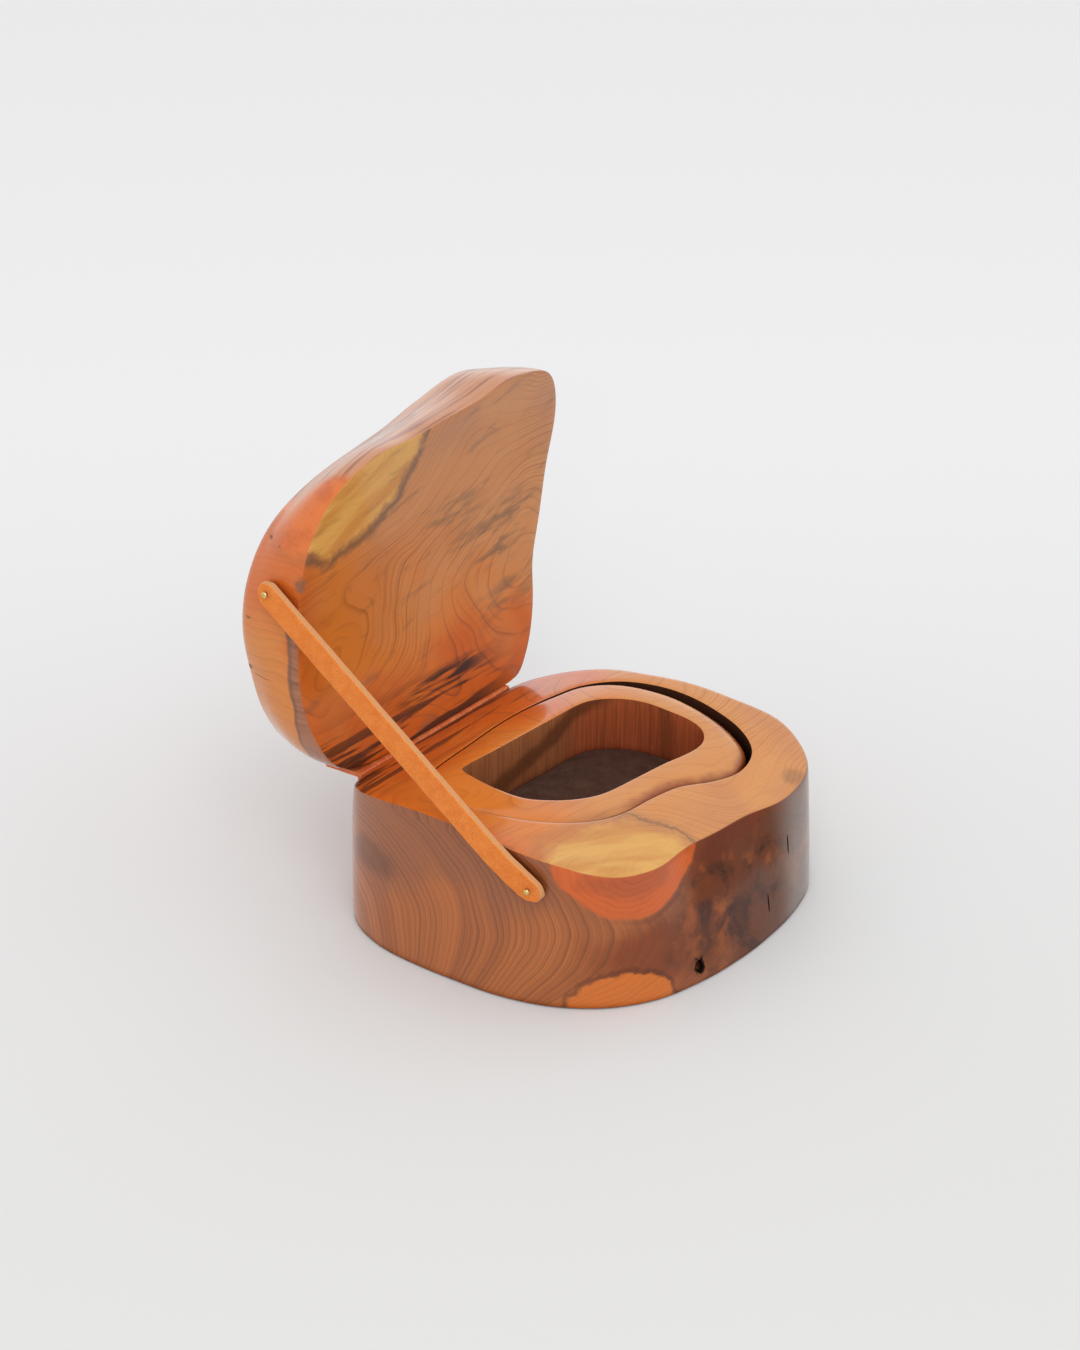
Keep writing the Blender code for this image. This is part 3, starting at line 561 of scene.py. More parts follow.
class SolidYew(Group):
    """The whole figure of the block: rings, sapwood, burr, streaks and pores."""

    def __init__(self) -> None:
        """Start the group, and tell the lid, the sides and the cut faces apart."""
        super().__init__("Solid yew", ("Place", "Facing", "Lid"), ("Color", "Roughness", "Gloss", "Height"))
        self.place, self.lid = self.inside["Place"], self.inside["Lid"]
        self.x, self.y, self.z = self.apart(self.place)
        self.side = self.step(self.inside["Facing"], 0.72, 0.45)
        self.flat = self.less(1.0, self.side)
        self.base = self.less(1.0, self.lid)
        self.top = self.times(self.base, self.flat)
        self.base_side = self.times(self.base, self.side)
        self.lid_side = self.times(self.lid, self.side)
        self.cloud = self.noise(self.vector("ADD", self.place, (300.0, 0.0, 0.0)), 30.0)
        self.sway = self.less(self.cloud, 0.5)
        self.veins = self.stretched(self.place, (34.0, 7.0, 12.0), 2.0, 24)

    def find(self, region: Region) -> NodeSocket:
        """Mask of a region."""
        return region.find(self, self.place)["Inside"]

    def cloudy(self, low: float, high: float, size: float, detail: float = 2.0, rough: float = 0.5) -> NodeSocket:
        """Mask of soft clouds, between two of their values."""
        return self.step(self.noise(self.place, size, detail, rough), low, high)

    def strips(self, low: float, high: float, sizes: Triple, detail: float = 4.0, turn: float = 0.0) -> NodeSocket:
        """Mask of drawn-out clouds, between two of their values."""
        return self.step(self.stretched(self.place, sizes, detail, turn), low, high)

    def cover(self, mask: Feed, tone: Feed, share: float = 1.0, thins: float = 0.0) -> None:
        """Lay a colour over what is there, and thin the rings' lines under it.

        Args:
            mask: Where it lies.
            tone: The colour.
            share: How much it covers.
            thins: Share of the lines that it takes away.
        """
        self.colour = self.mix(self.times(mask, share), self.colour, tone)
        if thins:
            self.line = self.times(self.line, self.fit(mask, -thins, 1.0))

    def build(self) -> NodeTree:
        """Lay the whole figure.

        Returns:
            A group from Place, Facing and Lid, which is 1 on the lid, to Color, Roughness, Gloss and Height.
        """
        self.plain_wood()
        self.lids_side()
        self.burred_front()
        self.sapwood()
        self.knots()
        self.stains()
        self.streaks()
        return self.polish(self.hollows())

    def plain_wood(self) -> None:
        """Lay plain wood: tan at the front, amber further back and deep orange along the hinge."""
        on_side = self.group(SideRings().build(), Place=self.place)
        on_face = self.group(FaceRings().build(), Place=self.place)
        back = self.fit(self.sway, 110.0, self.vector("DOT_PRODUCT", self.place, (-0.45, 1.0, 0.0)))
        high = self.fit(self.sway, 70.0, self.z)
        self.colour = TONE.face
        self.cover(self.cloudy(0.44, 0.62, 40.0), TONE.face_rosy, 0.7)
        self.cover(self.step(back, -35.0, 40.0), TONE.face_amber, 0.9)
        self.cover(self.step(self.fit(self.sway, 60.0, self.y), 22.0, 52.0), TONE.face_deep, 0.85)
        self.cover(self.step(self.x, -54.0, -70.0), TONE.face_deep, 0.6)
        self.cover(self.step(on_face["Tone"], 0.42, 0.66), TONE.side, 0.16)
        self.colour = self.mix(self.top, self.colour, (1.15, 1.13, 0.95), "MULTIPLY")
        dusky = self.times(self.step(on_side["Tone"], 0.40, 0.66), 0.50)
        flank = self.mix(dusky, TONE.side, TONE.side_dusky)
        self.cover(self.side, self.mix(self.times(self.step(high, 24.0, 52.0), 0.75), flank, TONE.side_mauve))
        face_line = self.times(on_face["Line"], self.fit(self.cloudy(0.32, 0.55, 34.0, 1.0), 0.65, 0.35))
        self.line = self.mix(self.side, face_line, self.times(on_side["Line"], 0.75))

    def lids_side(self) -> None:
        """Lay the lid's lighter outer wood, the dusky band under it, and its rosy front with streaks, lightened in
        part as painted sheen.
        """
        limit = AREA.light_side_height
        height = self.sum("ADD", self.z, self.fit(self.noise(self.place, 26.0), 7.0, -3.5))
        height = self.fit(self.step(self.y, -3.0, -11.0), 22.0, height)
        upper = self.times(self.step(height, limit, limit + 1.2), self.lid_side)
        rusty = self.times(self.step(self.fit(self.sway, 40.0, self.y), 6.0, -16.0), 0.85)
        reddish = self.most(self.cloudy(0.46, 0.66, 20.0, 3.0), rusty)
        self.cover(upper, self.mix(reddish, TONE.light_side, TONE.light_red), thins=0.75)
        self.border = self.times(self.near(height, limit, 1.3), self.lid_side, self.step(self.y, -5.0, -1.0))
        band = self.times(self.step(height, limit + 0.6, limit - 0.6), self.step(self.y, -5.0, -2.0))
        band = self.times(band, self.lid_side, self.step(self.x, -50.0, -60.0))
        self.cover(band, TONE.lid_band, 0.85)
        self.front = self.times(self.step(self.x, -53.0, -47.0), self.step(self.y, -28.0, -38.0), self.lid_side)
        # The rose is partly painted sheen
        rose = self.mix(self.strips(0.44, 0.66, (44.0, 44.0, 2.6)), TONE.front_rose, TONE.front_dark)
        self.cover(self.front, rose, 0.92)
        self.line = self.times(self.line, self.fit(self.front, -0.85, 1.0))

    def burred_front(self) -> None:
        """Lay the base's burr: fine swirls, dark eyes, bright islands, a grey haze to the right, and a pale
        painted sheen at its right end.
        """
        self.cover(self.find(AREA.left_knot), TONE.burr_dark, 0.45)
        self.smear = self.times(self.find(AREA.smear), self.base_side, 0.90)
        self.cover(self.smear, TONE.smear)
        swirl = self.noise(self.place, 17.0, 5.0, 0.62, 1.3)
        islands = self.noise(self.vector("ADD", self.place, (90.0, 0.0, 0.0)), 15.0, 4.0, 0.6)
        haze = self.times(self.cloudy(0.36, 0.62, 13.0, 5.0, 0.65), self.step(self.x, 0.0, 30.0))
        burr = TONE.burr
        for mask, share, tone in (
            (self.step(swirl, 0.42, 0.64), 0.88, TONE.burr_dark),
            (self.step(islands, 0.50, 0.68), 0.80, TONE.burr_bright),
            (haze, 0.7, TONE.haze),
            (self.step(self.fit(swirl, 26.0, self.z), 52.0, 60.0), 0.8, TONE.burr_red),
        ):
            burr = self.mix(self.times(mask, share), burr, tone)
        self.burr = self.times(self.find(AREA.burr), self.base_side)
        self.cover(self.burr, burr, thins=0.75)
        # Painted sheen: pale grey over the burr's right end
        self.cover(self.times(self.burr, self.step(self.x, 26.0, 44.0)), TONE.dust, 0.45)

    def sapwood(self) -> None:
        """Lay the sapwood corner: yellow on the cut faces, orange on the lid's side."""
        self.sap = AREA.sap.find(self, self.place)["Depth"]
        self.sap_depth = self.fit(self.top, 0.07, self.sap)
        within = self.times(self.step(self.sap_depth, 1.08, 0.92), self.less(1.0, self.base_side))
        within = self.times(within, self.less(1.0, self.front))
        face = self.mix(self.step(self.veins, 0.42, 0.66), TONE.sapwood, TONE.sapwood_amber)
        worn = self.times(self.cloudy(0.44, 0.66, 9.0, 4.0, 0.6), 0.55)
        corner = self.mix(worn, TONE.light_knot, TONE.light_deep)
        self.cover(within, self.mix(self.side, face, corner), thins=0.80)

    def knots(self) -> None:
        """Lay the knot under the sapwood, with its own rings and a dark border, and the foot's patch."""
        knot, foot = AREA.knot.find(self, self.place), AREA.foot.find(self, self.place)
        depth, self.foot = knot["Depth"], foot["Depth"]
        within = self.times(knot["Inside"], self.base_side)
        deep = self.fit(self.less(self.veins, 0.5), 1.4, depth)
        orange = self.mix(self.times(self.step(deep, 0.95, 0.50), 0.7), TONE.knot_orange, TONE.knot_red)
        self.cover(within, orange, thins=1.0)
        years = self.fit(self.cloud, 5.0, self.times(depth, 11.0))
        ring = self.group(late_wood(), Count=years, Start=0.50)["Line"]
        self.cover(self.times(ring, within), TONE.knot_line, 0.42)
        border = self.times(self.near(depth, 1.07, 0.08), self.base_side, self.step(self.x, -58.0, -30.0))
        self.cover(border, TONE.knot_line, 0.7)
        self.cover(foot["Inside"], TONE.foot_orange, thins=0.55)
        lines = self.mix(self.lid, TONE.line_warm, TONE.line)
        self.cover(self.line, self.mix(self.side, lines, TONE.side_line))

    def stains(self) -> None:
        """Lay smoky stains: along the sapwood's border, round the foot's patch, in clouds and in flecks."""
        wisps = self.strips(0.26, 0.46, (18.0, 9.0, 12.0), 2.0, 24)
        rim = self.times(self.near(self.sap, 1.05, 0.10), wisps, self.lid, 0.78, self.fit(self.side, -0.8, 1.0))
        thin = self.times(self.near(self.sap, 1.02, 0.030, 0.005), self.top, self.step(self.x, -32.0, -22.0), 0.6)
        veil = self.times(self.near(self.sap_depth, 1.08, 0.15), self.top, 0.22)
        drifts = self.times(self.strips(0.42, 0.66, (15.0, 3.4, 12.0), 4.0, 6), self.lid, 0.68)
        clouds = [self.times(self.find(spot), drifts) for spot in AREA.clouds]
        smudge = self.times(self.find(AREA.smudge), self.base, 0.4)
        flecks = self.times(self.strips(0.57, 0.72, (17.0, 5.0, 12.0), 3.0, 14), self.flat)
        flecks = self.times(flecks, self.fit(self.lid, 0.30, 0.05))
        self.cover(self.near(self.foot, 1.06, 0.12), TONE.burr_dark, 0.45)
        border = self.times(self.border, 0.6)
        self.cover(self.most(rim, thin, veil, *clouds, smudge, border, flecks), TONE.smoke)

    def streaks(self) -> None:
        """Lay near-black streaks along the hinge."""
        lean = self.stretched(self.place, (55.0, 4.2, 9.0), 4.0)
        lean = self.fit(self.step(self.x, -30.0, -66.0), 0.06, lean)
        where = self.times(self.step(self.y, *AREA.streak_back), self.step(self.x, *AREA.streak_right))
        dark = self.times(self.step(lean, 0.50, 0.58), where, self.fit(self.side, -0.9, 0.9))
        torn = self.strips(0.38, 0.56, (26.0, 1.8, 9.0))
        self.cover(self.most(dark, self.times(self.find(AREA.long_streak), self.lid, torn)), TONE.streak)

    def hollows(self) -> NodeSocket:
        """Open the burr's cracks and pit, the lid's bark pockets, and the painted shadow by the strap's end.

        Returns:
            A mask of them all.
        """
        holes = []
        for regions, tone in ((AREA.pits, TONE.pit), (AREA.bark, TONE.bark)):
            for region in regions:
                holes.append(self.find(region))
                self.cover(holes[-1], tone)
        return self.most(*holes)

    def polish(self, holes: NodeSocket) -> NodeTree:
        """Lay fibres and pores, and say how the oiled wood shines.

        Args:
            holes: Mask of the hollows.

        Returns:
            The finished group.
        """
        fibre = self.stretched(self.place, (9.0, 0.35, 0.5), 2.0, 10)
        pores = self.times(self.step(fibre, 0.50, 0.75), 0.12)
        colour = self.mix(pores, self.colour, TONE.line, "MULTIPLY")
        rough = self.fit(holes, 0.6, self.fit(fibre, 0.10, 0.26))
        height = self.fit(holes, -3.0, self.fit(fibre, 0.4, self.times(self.line, 0.25)))
        gloss = self.fit(self.times(self.lid, self.flat), -0.6, self.less(1.0, holes), clamp=True)
        upper = self.times(self.step(self.z, 18.0, 34.0), self.step(self.x, -30.0, -12.0))
        upper = self.times(upper, self.base_side, self.step(self.y, -20.0, -34.0), 0.85)
        dull = self.most(self.times(self.most(self.burr, self.smear), 0.4), upper)
        gloss = self.sum("SUBTRACT", gloss, self.times(dull, self.step(self.x, 44.0, 26.0)), clamp=True)
        return self.gives(Color=colour, Roughness=rough, Gloss=gloss, Height=height)


@cache
def solid_yew() -> NodeTree:
    """The yew's group, built once."""
    return SolidYew().build()


@cache
def saw_marks() -> NodeTree:
    """The group of upright saw marks on an inner wall, from Place to Marks, built once."""
    made = Group("Saw marks", ("Place",), ("Marks",))
    return made.gives(Marks=made.stretched(made.inside["Place"], (0.55, 0.55, 26.0), 3.0))


class Finish:
    """A finish that can be laid on pieces."""

    name: str

    def material(self) -> Material:
        """Build the material, or find the one that was built before.

        Returns:
            The material.
        """
        found = bpy.data.materials.get(self.name)
        if found:
            return found
        made = bpy.data.materials.new(self.name)
        made.use_nodes = True
        recipe = Recipe(made.node_tree)
        for label, value in self.lay(recipe).items():
            recipe.feed(made.node_tree.nodes["Principled BSDF"].inputs[label], value)
        return made

    def lay(self, recipe: Recipe) -> dict[str, Feed]:
        """Lay the finish's nodes, and say what goes into the shader."""
        raise NotImplementedError


@dataclass(frozen=True)
class OiledYew(Finish):
    """Yew, sanded fine and oiled to a gloss."""

    name: str
    turned: bool = False  # It lies opened in the frame, so its place is turned back
    inside: Inside = Inside.OILED
    coat: float = 0.85
    rolled: bool = False  # Painted shade darkens it towards the edge that rolls over, which the attribute rim measures
    # Colour of the painted shade where the edge rolls over
    roll_tone: Triple = (0.46, 0.24, 0.18)
    hollow_middle: Triple = (1.6, 1.4, 0.0)
    # Painted shade: how far the ambient occlusion reaches, and the colour that creases and contacts are darkened
    # by
    crevice_reach: float = 0.006
    crevice_tone: Triple = (0.34, 0.16, 0.10)

    def inner_wall(self, recipe: Recipe, place: NodeSocket, normal: NodeSocket, facing: NodeSocket) -> NodeSocket:
        """Find the upright walls that look towards the middle of the block.

        Args:
            recipe: The material's recipe.
            place: Place in the closed block.
            normal: Way that the surface faces.
            facing: How far it faces up or down.

        Returns:
            A mask.
        """
        away = recipe.vector("SUBTRACT", place, self.hollow_middle)
        away = recipe.vector("NORMALIZE", recipe.vector("MULTIPLY", away, (1.0, 1.0, 0.0)))
        inwards = recipe.step(recipe.vector("DOT_PRODUCT", away, normal), -0.05, -0.25)
        return recipe.times(inwards, recipe.step(facing, 0.6, 0.3))

    def sawn(self, recipe: Recipe, place: NodeSocket, marks: NodeSocket) -> NodeSocket:
        """Colour a sawn wall: ruddy to the right, with a slanting and an upright streak.

        Args:
            recipe: The material's recipe.
            place: Place in the closed block.
            marks: The saw's marks.

        Returns:
            The colour.
        """
        x, y, z = recipe.apart(place)
        wave = recipe.noise(place, 14.0, 3.0)
        slant = recipe.fit(wave, 9.0, recipe.fit(x, -0.35, recipe.less(z, 56.1)))
        slant = recipe.times(recipe.near(slant, 0.0, 6.0, 1.5), recipe.step(y, 10.0, 20.0))
        upright = recipe.near(recipe.fit(wave, 8.0, y), 0.0, 5.0, 1.0)
        upright = recipe.times(upright, recipe.step(x, 28.0, 38.0), 0.7)
        tint = recipe.mix(recipe.step(x, 10.0, 34.0), TONE.hollow, TONE.hollow_red)
        tint = recipe.mix(recipe.times(recipe.step(marks, 0.36, 0.70), 0.50), tint, TONE.hollow_dark)
        return recipe.mix(recipe.times(recipe.most(slant, upright), 0.75), tint, TONE.hollow_dark)

    def roll(self, recipe: Recipe, place: NodeSocket) -> NodeSocket:
        """Find where painted shade darkens the edge that rolls over, most at the front right.

        Args:
            recipe: The material's recipe.
            place: Place in the closed block.

        Returns:
            A mask.
        """
        x, y, _ = recipe.apart(place)
        rim = recipe.fit(recipe.noise(place, 7.0, 3.0), 4.0, recipe.attribute("rim", "Fac"))
        share = recipe.fit(recipe.step(x, -26.0, -2.0), 0.70, 0.22)
        return recipe.times(recipe.step(rim, 7.0, 2.6), share, recipe.step(y, -8.0, -22.0))

    def lay(self, recipe: Recipe) -> dict[str, Feed]:
        """Lay the wood's figure, its gloss and its faint relief.

        Args:
            recipe: The material's recipe.

        Returns:
            What goes into the shader, by input.
        """
        where = recipe.node("ShaderNodeTexCoord").outputs
        place, normal = where["Object"], where["Normal"]
        if self.turned:
            back = partial(recipe.node, "ShaderNodeVectorRotate", rotation_type="X_AXIS")
            place = back({"Vector": place, "Center": HINGE_LINE, "Angle": OPEN_ANGLE}).outputs[0]
            normal = back({"Vector": normal, "Angle": OPEN_ANGLE}).outputs[0]
        place = recipe.vector("SCALE", place, MM)
        facing = recipe.sum("ABSOLUTE", recipe.apart(normal)[2])
        figure = recipe.group(solid_yew(), Place=place, Facing=facing, Lid=float(self.turned))
        colour, rough, gloss, height = (figure[key] for key in ("Color", "Roughness", "Gloss", "Height"))
        if self.inside is not Inside.OILED:
            wall = self.inner_wall(recipe, place, normal, facing)
            # Unless sawn, the inner walls get a near-black that is painted shade
            tint, cover = TONE.stained, 0.92
            if self.inside is Inside.SAWN:
                marks = recipe.group(saw_marks(), Place=place)["Marks"]
                tint, cover = self.sawn(recipe, place, marks), 0.85
                height = recipe.fit(recipe.times(marks, wall), 2.5, height)
            colour = recipe.mix(recipe.times(wall, cover), colour, tint)
            rough = recipe.fit(wall, 0.4, rough)
            gloss = recipe.fit(wall, -1.0, gloss, clamp=True)
        # Painted shade in creases and under parts, where the ambient occlusion finds the surface hemmed in; the
        # coat fades there too
        unshaded = recipe.node("ShaderNodeAmbientOcclusion", {"Distance": self.crevice_reach}, samples=8).outputs["AO"]
        colour = recipe.mix(recipe.step(unshaded, 0.80, 0.10), colour, self.crevice_tone, "MULTIPLY")
        gloss = recipe.times(gloss, recipe.step(unshaded, 0.50, 0.85))
        # Painted shade where the tray's edge rolls down into its groove
        if self.rolled:
            colour = recipe.mix(self.roll(recipe, place), colour, self.roll_tone, "MULTIPLY")
        return {
            "Base Color": colour,
            "Roughness": rough,
            "Normal": recipe.bump(height, 0.35, 0.00008),
            "Coat Weight": recipe.times(gloss, self.coat),
            "Coat Roughness": 0.12,
            "Specular IOR Level": 0.1,
        }


@dataclass(frozen=True)
class Suede(Finish):
    """Suede: mottled nap, with paler fibres where the hide was cut through."""

    name: str
    nap: Triple
    rubbed: Triple
    cut: Optional[Triple] = None  # Cut edges, where they show
    mottle: float = 4.0  # Millimetres
    fibre: float = 0.45
    sheen: float = 0.12

    def lay(self, recipe: Recipe) -> dict[str, Feed]:
        """Lay the nap, its mottling and its bump.

        Args:
            recipe: The material's recipe.

        Returns:
            What goes into the shader, by input.
        """
        place = recipe.vector("SCALE", recipe.attribute("laid_flat", "Vector"), MM)
        cloud = recipe.noise(place, self.mottle, 4.0, 0.6)
        fuzz = recipe.noise(place, self.fibre, 3.0, 0.7)
        colour = recipe.mix(recipe.step(cloud, 0.25, 0.80), self.nap, self.rubbed)
        shade = tuple(0.62 * part for part in self.nap)
        colour = recipe.mix(recipe.times(recipe.step(fuzz, 0.54, 0.30), 0.75), colour, shade)
        if self.cut:
            across = recipe.apart(recipe.node("ShaderNodeTexCoord").outputs["Normal"])[0]
            edge = recipe.step(recipe.sum("ABSOLUTE", across), 0.75, 0.35)
            strands = recipe.step(recipe.noise(place, 0.4, 3.0), 0.30, 0.85)
            colour = recipe.mix(edge, colour, recipe.mix(strands, self.cut, self.nap))
        height = recipe.fit(fuzz, 0.7, recipe.times(cloud, 0.5))
        return {
            "Base Color": colour,
            "Roughness": recipe.fit(fuzz, 0.10, 0.86),
            "Normal": recipe.bump(height, 0.6, 0.0003),
            "Sheen Weight": self.sheen,
            "Sheen Roughness": 0.5,
            "Specular IOR Level": 0.2,
        }


@dataclass(frozen=True)
class Leather(Finish):
    """Plain leather with a fine grain."""

    name: str
    colour: Triple
    worn: Triple
    grain: float = 0.9  # Millimetres

    def lay(self, recipe: Recipe) -> dict[str, Feed]:
        """Lay the grain and the colour that goes with it.

        Args:
            recipe: The material's recipe.

        Returns:
            What goes into the shader, by input.
        """
        place = recipe.vector("SCALE", recipe.attribute("laid_flat", "Vector"), MM)
        inputs = {"Vector": place, "Scale": 1 / self.grain}
        cells = recipe.node("ShaderNodeTexVoronoi", inputs, feature="DISTANCE_TO_EDGE").outputs["Distance"]
        crease = recipe.step(cells, 0.18, 0.02)
        cloud = recipe.noise(place, 7.0, 3.0)
        colour = recipe.mix(recipe.step(cloud, 0.40, 0.66), self.colour, self.worn)
        shade = tuple(0.55 * part for part in self.colour)
        return {
            "Base Color": recipe.mix(recipe.times(crease, 0.5), colour, shade),
            "Roughness": recipe.fit(cloud, 0.2, 0.42),
            "Normal": recipe.bump(recipe.less(1.0, crease), 0.5, 0.00012),
        }


@dataclass(frozen=True)
class Brass(Finish):
    """Turned brass, dulled a little by handling."""

    name: str
    bright: Triple = paint(226, 200, 130)
    dull: Triple = paint(176, 140, 78)

    def lay(self, recipe: Recipe) -> dict[str, Feed]:
        """Lay the brass and its tarnish.

        Args:
            recipe: The material's recipe.

        Returns:
            What goes into the shader, by input.
        """
        place = recipe.vector("SCALE", recipe.node("ShaderNodeTexCoord").outputs["Object"], MM)
        cloud = recipe.noise(place, 0.6, 4.0, 0.65)
        tarnish = recipe.step(cloud, 0.46, 0.66)
        return {
            "Base Color": recipe.mix(tarnish, self.bright, self.dull),
            "Roughness": recipe.fit(tarnish, 0.22, 0.20),
            "Normal": recipe.bump(cloud, 0.2, 0.00003),
            "Metallic": 1.0,
        }


@dataclass(frozen=True)
class Paper(Finish):
    """The pale paper under the box, with painted shade that makes it a little darker towards the camera."""

    name: str = "Pale_paper"
    near: Triple = (0.715, 0.715, 0.71)
    far: Triple = (0.84, 0.84, 0.85)
    farther: Triple = (0.75, 0.66, 0.0)

    def lay(self, recipe: Recipe) -> dict[str, Feed]:
        """Lay a pale tone with the faintest unevenness.

        Args:
            recipe: The material's recipe.

        Returns:
            What goes into the shader, by input.
        """
        where = recipe.node("ShaderNodeTexCoord").outputs["Object"]
        cloud = recipe.noise(where, 0.35)
        way = recipe.fit(cloud, 0.05, recipe.vector("DOT_PRODUCT", where, self.farther))
        return {
            # Painted shade: the paper's colour falls from far to near
            "Base Color": recipe.mix(recipe.step(way, -0.25, 0.55), self.near, self.far),
            "Roughness": recipe.fit(cloud, 0.05, 0.88),
            "Specular IOR Level": 0.15,
        }


def node_points(node: str) -> np.ndarray:
    """Corners of a node of the frame, one row of X, Y and Z for each place."""
    points = np.array([tuple(v.co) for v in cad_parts[node].data.vertices])
    return np.unique(points.round(7), axis=0)


def pin_middle(node: str) -> Vector:
    """Middle of a pin's box."""
    low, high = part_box(node)
    return (low + high) / 2


def smooth_mesh(body: bmesh.types.BMesh, name: str) -> Mesh:
    """Shade a body smooth, and keep it as a mesh.

    Args:
        body: The body, which is freed.
        name: Name of the mesh.

    Returns:
        The mesh.
    """
    for face in body.faces:
        face.smooth = True
    mesh = bpy.data.meshes.new(name)
    body.to_mesh(mesh)
    body.free()
    return mesh


def finished(mesh: Mesh, finish: Finish, node: str, body: Optional[Body] = None) -> Object:
    """Make a piece of a mesh, under the mesh's name.

    Args:
        mesh: The mesh.
        finish: The piece's finish.
        node: Node of the frame that it replaces, which is hidden.
        body: Body that it rides on, or None where it hangs on no body.

    Returns:
        The piece.
    """
    mesh.materials.append(finish.material())
    piece = bpy.data.objects.new(mesh.name, mesh)
    bpy.context.scene.collection.objects.link(piece)
    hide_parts(node)
    if body:
        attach(piece, body.value)
    log.info("%s: %d faces, stands for %s", piece.name, len(mesh.polygons), node)
    return piece


@dataclass
class Piece:
    """A piece that stands for one node of the frame and rides on one body."""

    node: str
    name: str
    body: Body
    finish: Finish


@dataclass
class WoodPiece(Piece):
    """A piece of yew, smoothed from its solid in the frame."""

    levels: int = 1  # Levels of smoothing
    rimmed: bool = False  # The attribute rim is written, and the back of the outline swells
    joined_angle: float = math.radians(50)  # Under it, facets are joined
    joined_shape: float = math.radians(65)  # How far from square they may be
    upright: float = 0.2  # Most that a wall leans
    swell: float = 0.00025
    swell_reach: float = 2.0  # Millimetres in from the outline
    swell_turns: tuple[float, float] = (62.0, 222.0)  # Degrees round the outline
    swell_ease: float = 15.0

    def mesh(self) -> Mesh:
        """Weld the solid's facets into smooth four-sided faces, and crease its sharp edges.

        Returns:
            The mesh.
        """
        body = bmesh.new()
        body.from_mesh(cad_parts[self.node].data)
        bmesh.ops.remove_doubles(body, verts=body.verts, dist=NO_LENGTH)
        bmesh.ops.dissolve_degenerate(body, edges=body.edges, dist=NO_LENGTH)
        limits = {"angle_face_threshold": self.joined_angle, "angle_shape_threshold": self.joined_shape}
        bmesh.ops.join_triangles(body, faces=body.faces, **limits)
        crease = body.edges.layers.float.new("crease_edge")
        for edge in body.edges:
            sharp = len(edge.link_faces) != 2 or edge.calc_face_angle(0.0) > SHARP_ANGLE
            edge.smooth = not sharp
            edge[crease] = float(sharp)
        made = smooth_mesh(body, self.name)
        if self.rimmed:
            self.mark_rim(made)
        return made

    def mark_rim(self, mesh: Mesh) -> None:
        """Write how far each corner lies in from the outline, in millimetres, and swell the back.

        Args:
            mesh: Mesh that gets the attribute rim.
        """
        places = np.array([tuple(v.co) for v in mesh.vertices])[:, :2] * MM
        walls = [p for p in mesh.polygons if abs(p.normal.z) < self.upright and p.normal.xy.dot(p.center.xy) > 0]
        corners = sorted({index for face in walls for index in face.vertices})
        outline = np.unique(places[corners].round(2), axis=0)
        outline = outline[np.argsort(np.arctan2(outline[:, 1], outline[:, 0]))]
        along = np.roll(outline, -1, axis=0) - outline
        away = places[:, None, :] - outline[None]
        share = (away * along).sum(-1) / np.maximum((along**2).sum(-1), 1e-9)
        away = away - np.clip(share, 0.0, 1.0)[..., None] * along
        ways = np.linalg.norm(away, axis=-1).min(axis=1)
        mesh.attributes.new("rim", "FLOAT", "POINT").data.foreach_set("value", ways.astype(np.float32))
        first, last = self.swell_turns
        for vertex, way in zip(mesh.vertices, ways):
            turn = math.degrees(math.atan2(vertex.co.y, vertex.co.x)) % 360
            share = max(0.0, 1 - way / self.swell_reach)
            for inwards in (turn - first, last - turn):
                share *= min(1.0, max(0.0, inwards / self.swell_ease))
            vertex.co.xy += vertex.co.xy.normalized() * self.swell * share

    def build(self) -> Object:
        """Build, finish and hang the piece.

        Returns:
            The piece.
        """
        piece = finished(self.mesh(), self.finish, self.node, self.body)
        if self.levels:
            smoothing = piece.modifiers.new("Smoothing", "SUBSURF")
            smoothing.levels = smoothing.render_levels = self.levels
        return piece


def rounded_section(
    half_width: float, half_depth: float, radius: float, wide: int = 7, thin: int = 3
) -> list[tuple[float, float]]:
    """Corners of a rounded rectangle, in order round it.

    Args:
        half_width: Half its width.
        half_depth: Half its depth.
        radius: Radius of its corners.
        wide: Extra corners along each wide side.
        thin: Extra corners along each thin side.

    Returns:
        Rows of across and depth.
    """
    arcs = []
    for right, out, start in ((1, 1, 0), (-1, 1, 90), (-1, -1, 180), (1, -1, 270)):
        middle = right * (half_width - radius), out * (half_depth - radius)
        turns = [math.radians(start + 22.5 * step) for step in range(5)]
        arcs.append([(middle[0] + radius * math.cos(a), middle[1] + radius * math.sin(a)) for a in turns])
    corners = []
    for index, arc in enumerate(arcs):
        corners += arc
        extra = thin if index % 2 else wide
        for step in range(1, extra + 1):
            share = step / (extra + 1)
            corners.append(tuple(a + (b - a) * share for a, b in zip(arc[-1], arcs[(index + 1) % 4][0])))
    return corners


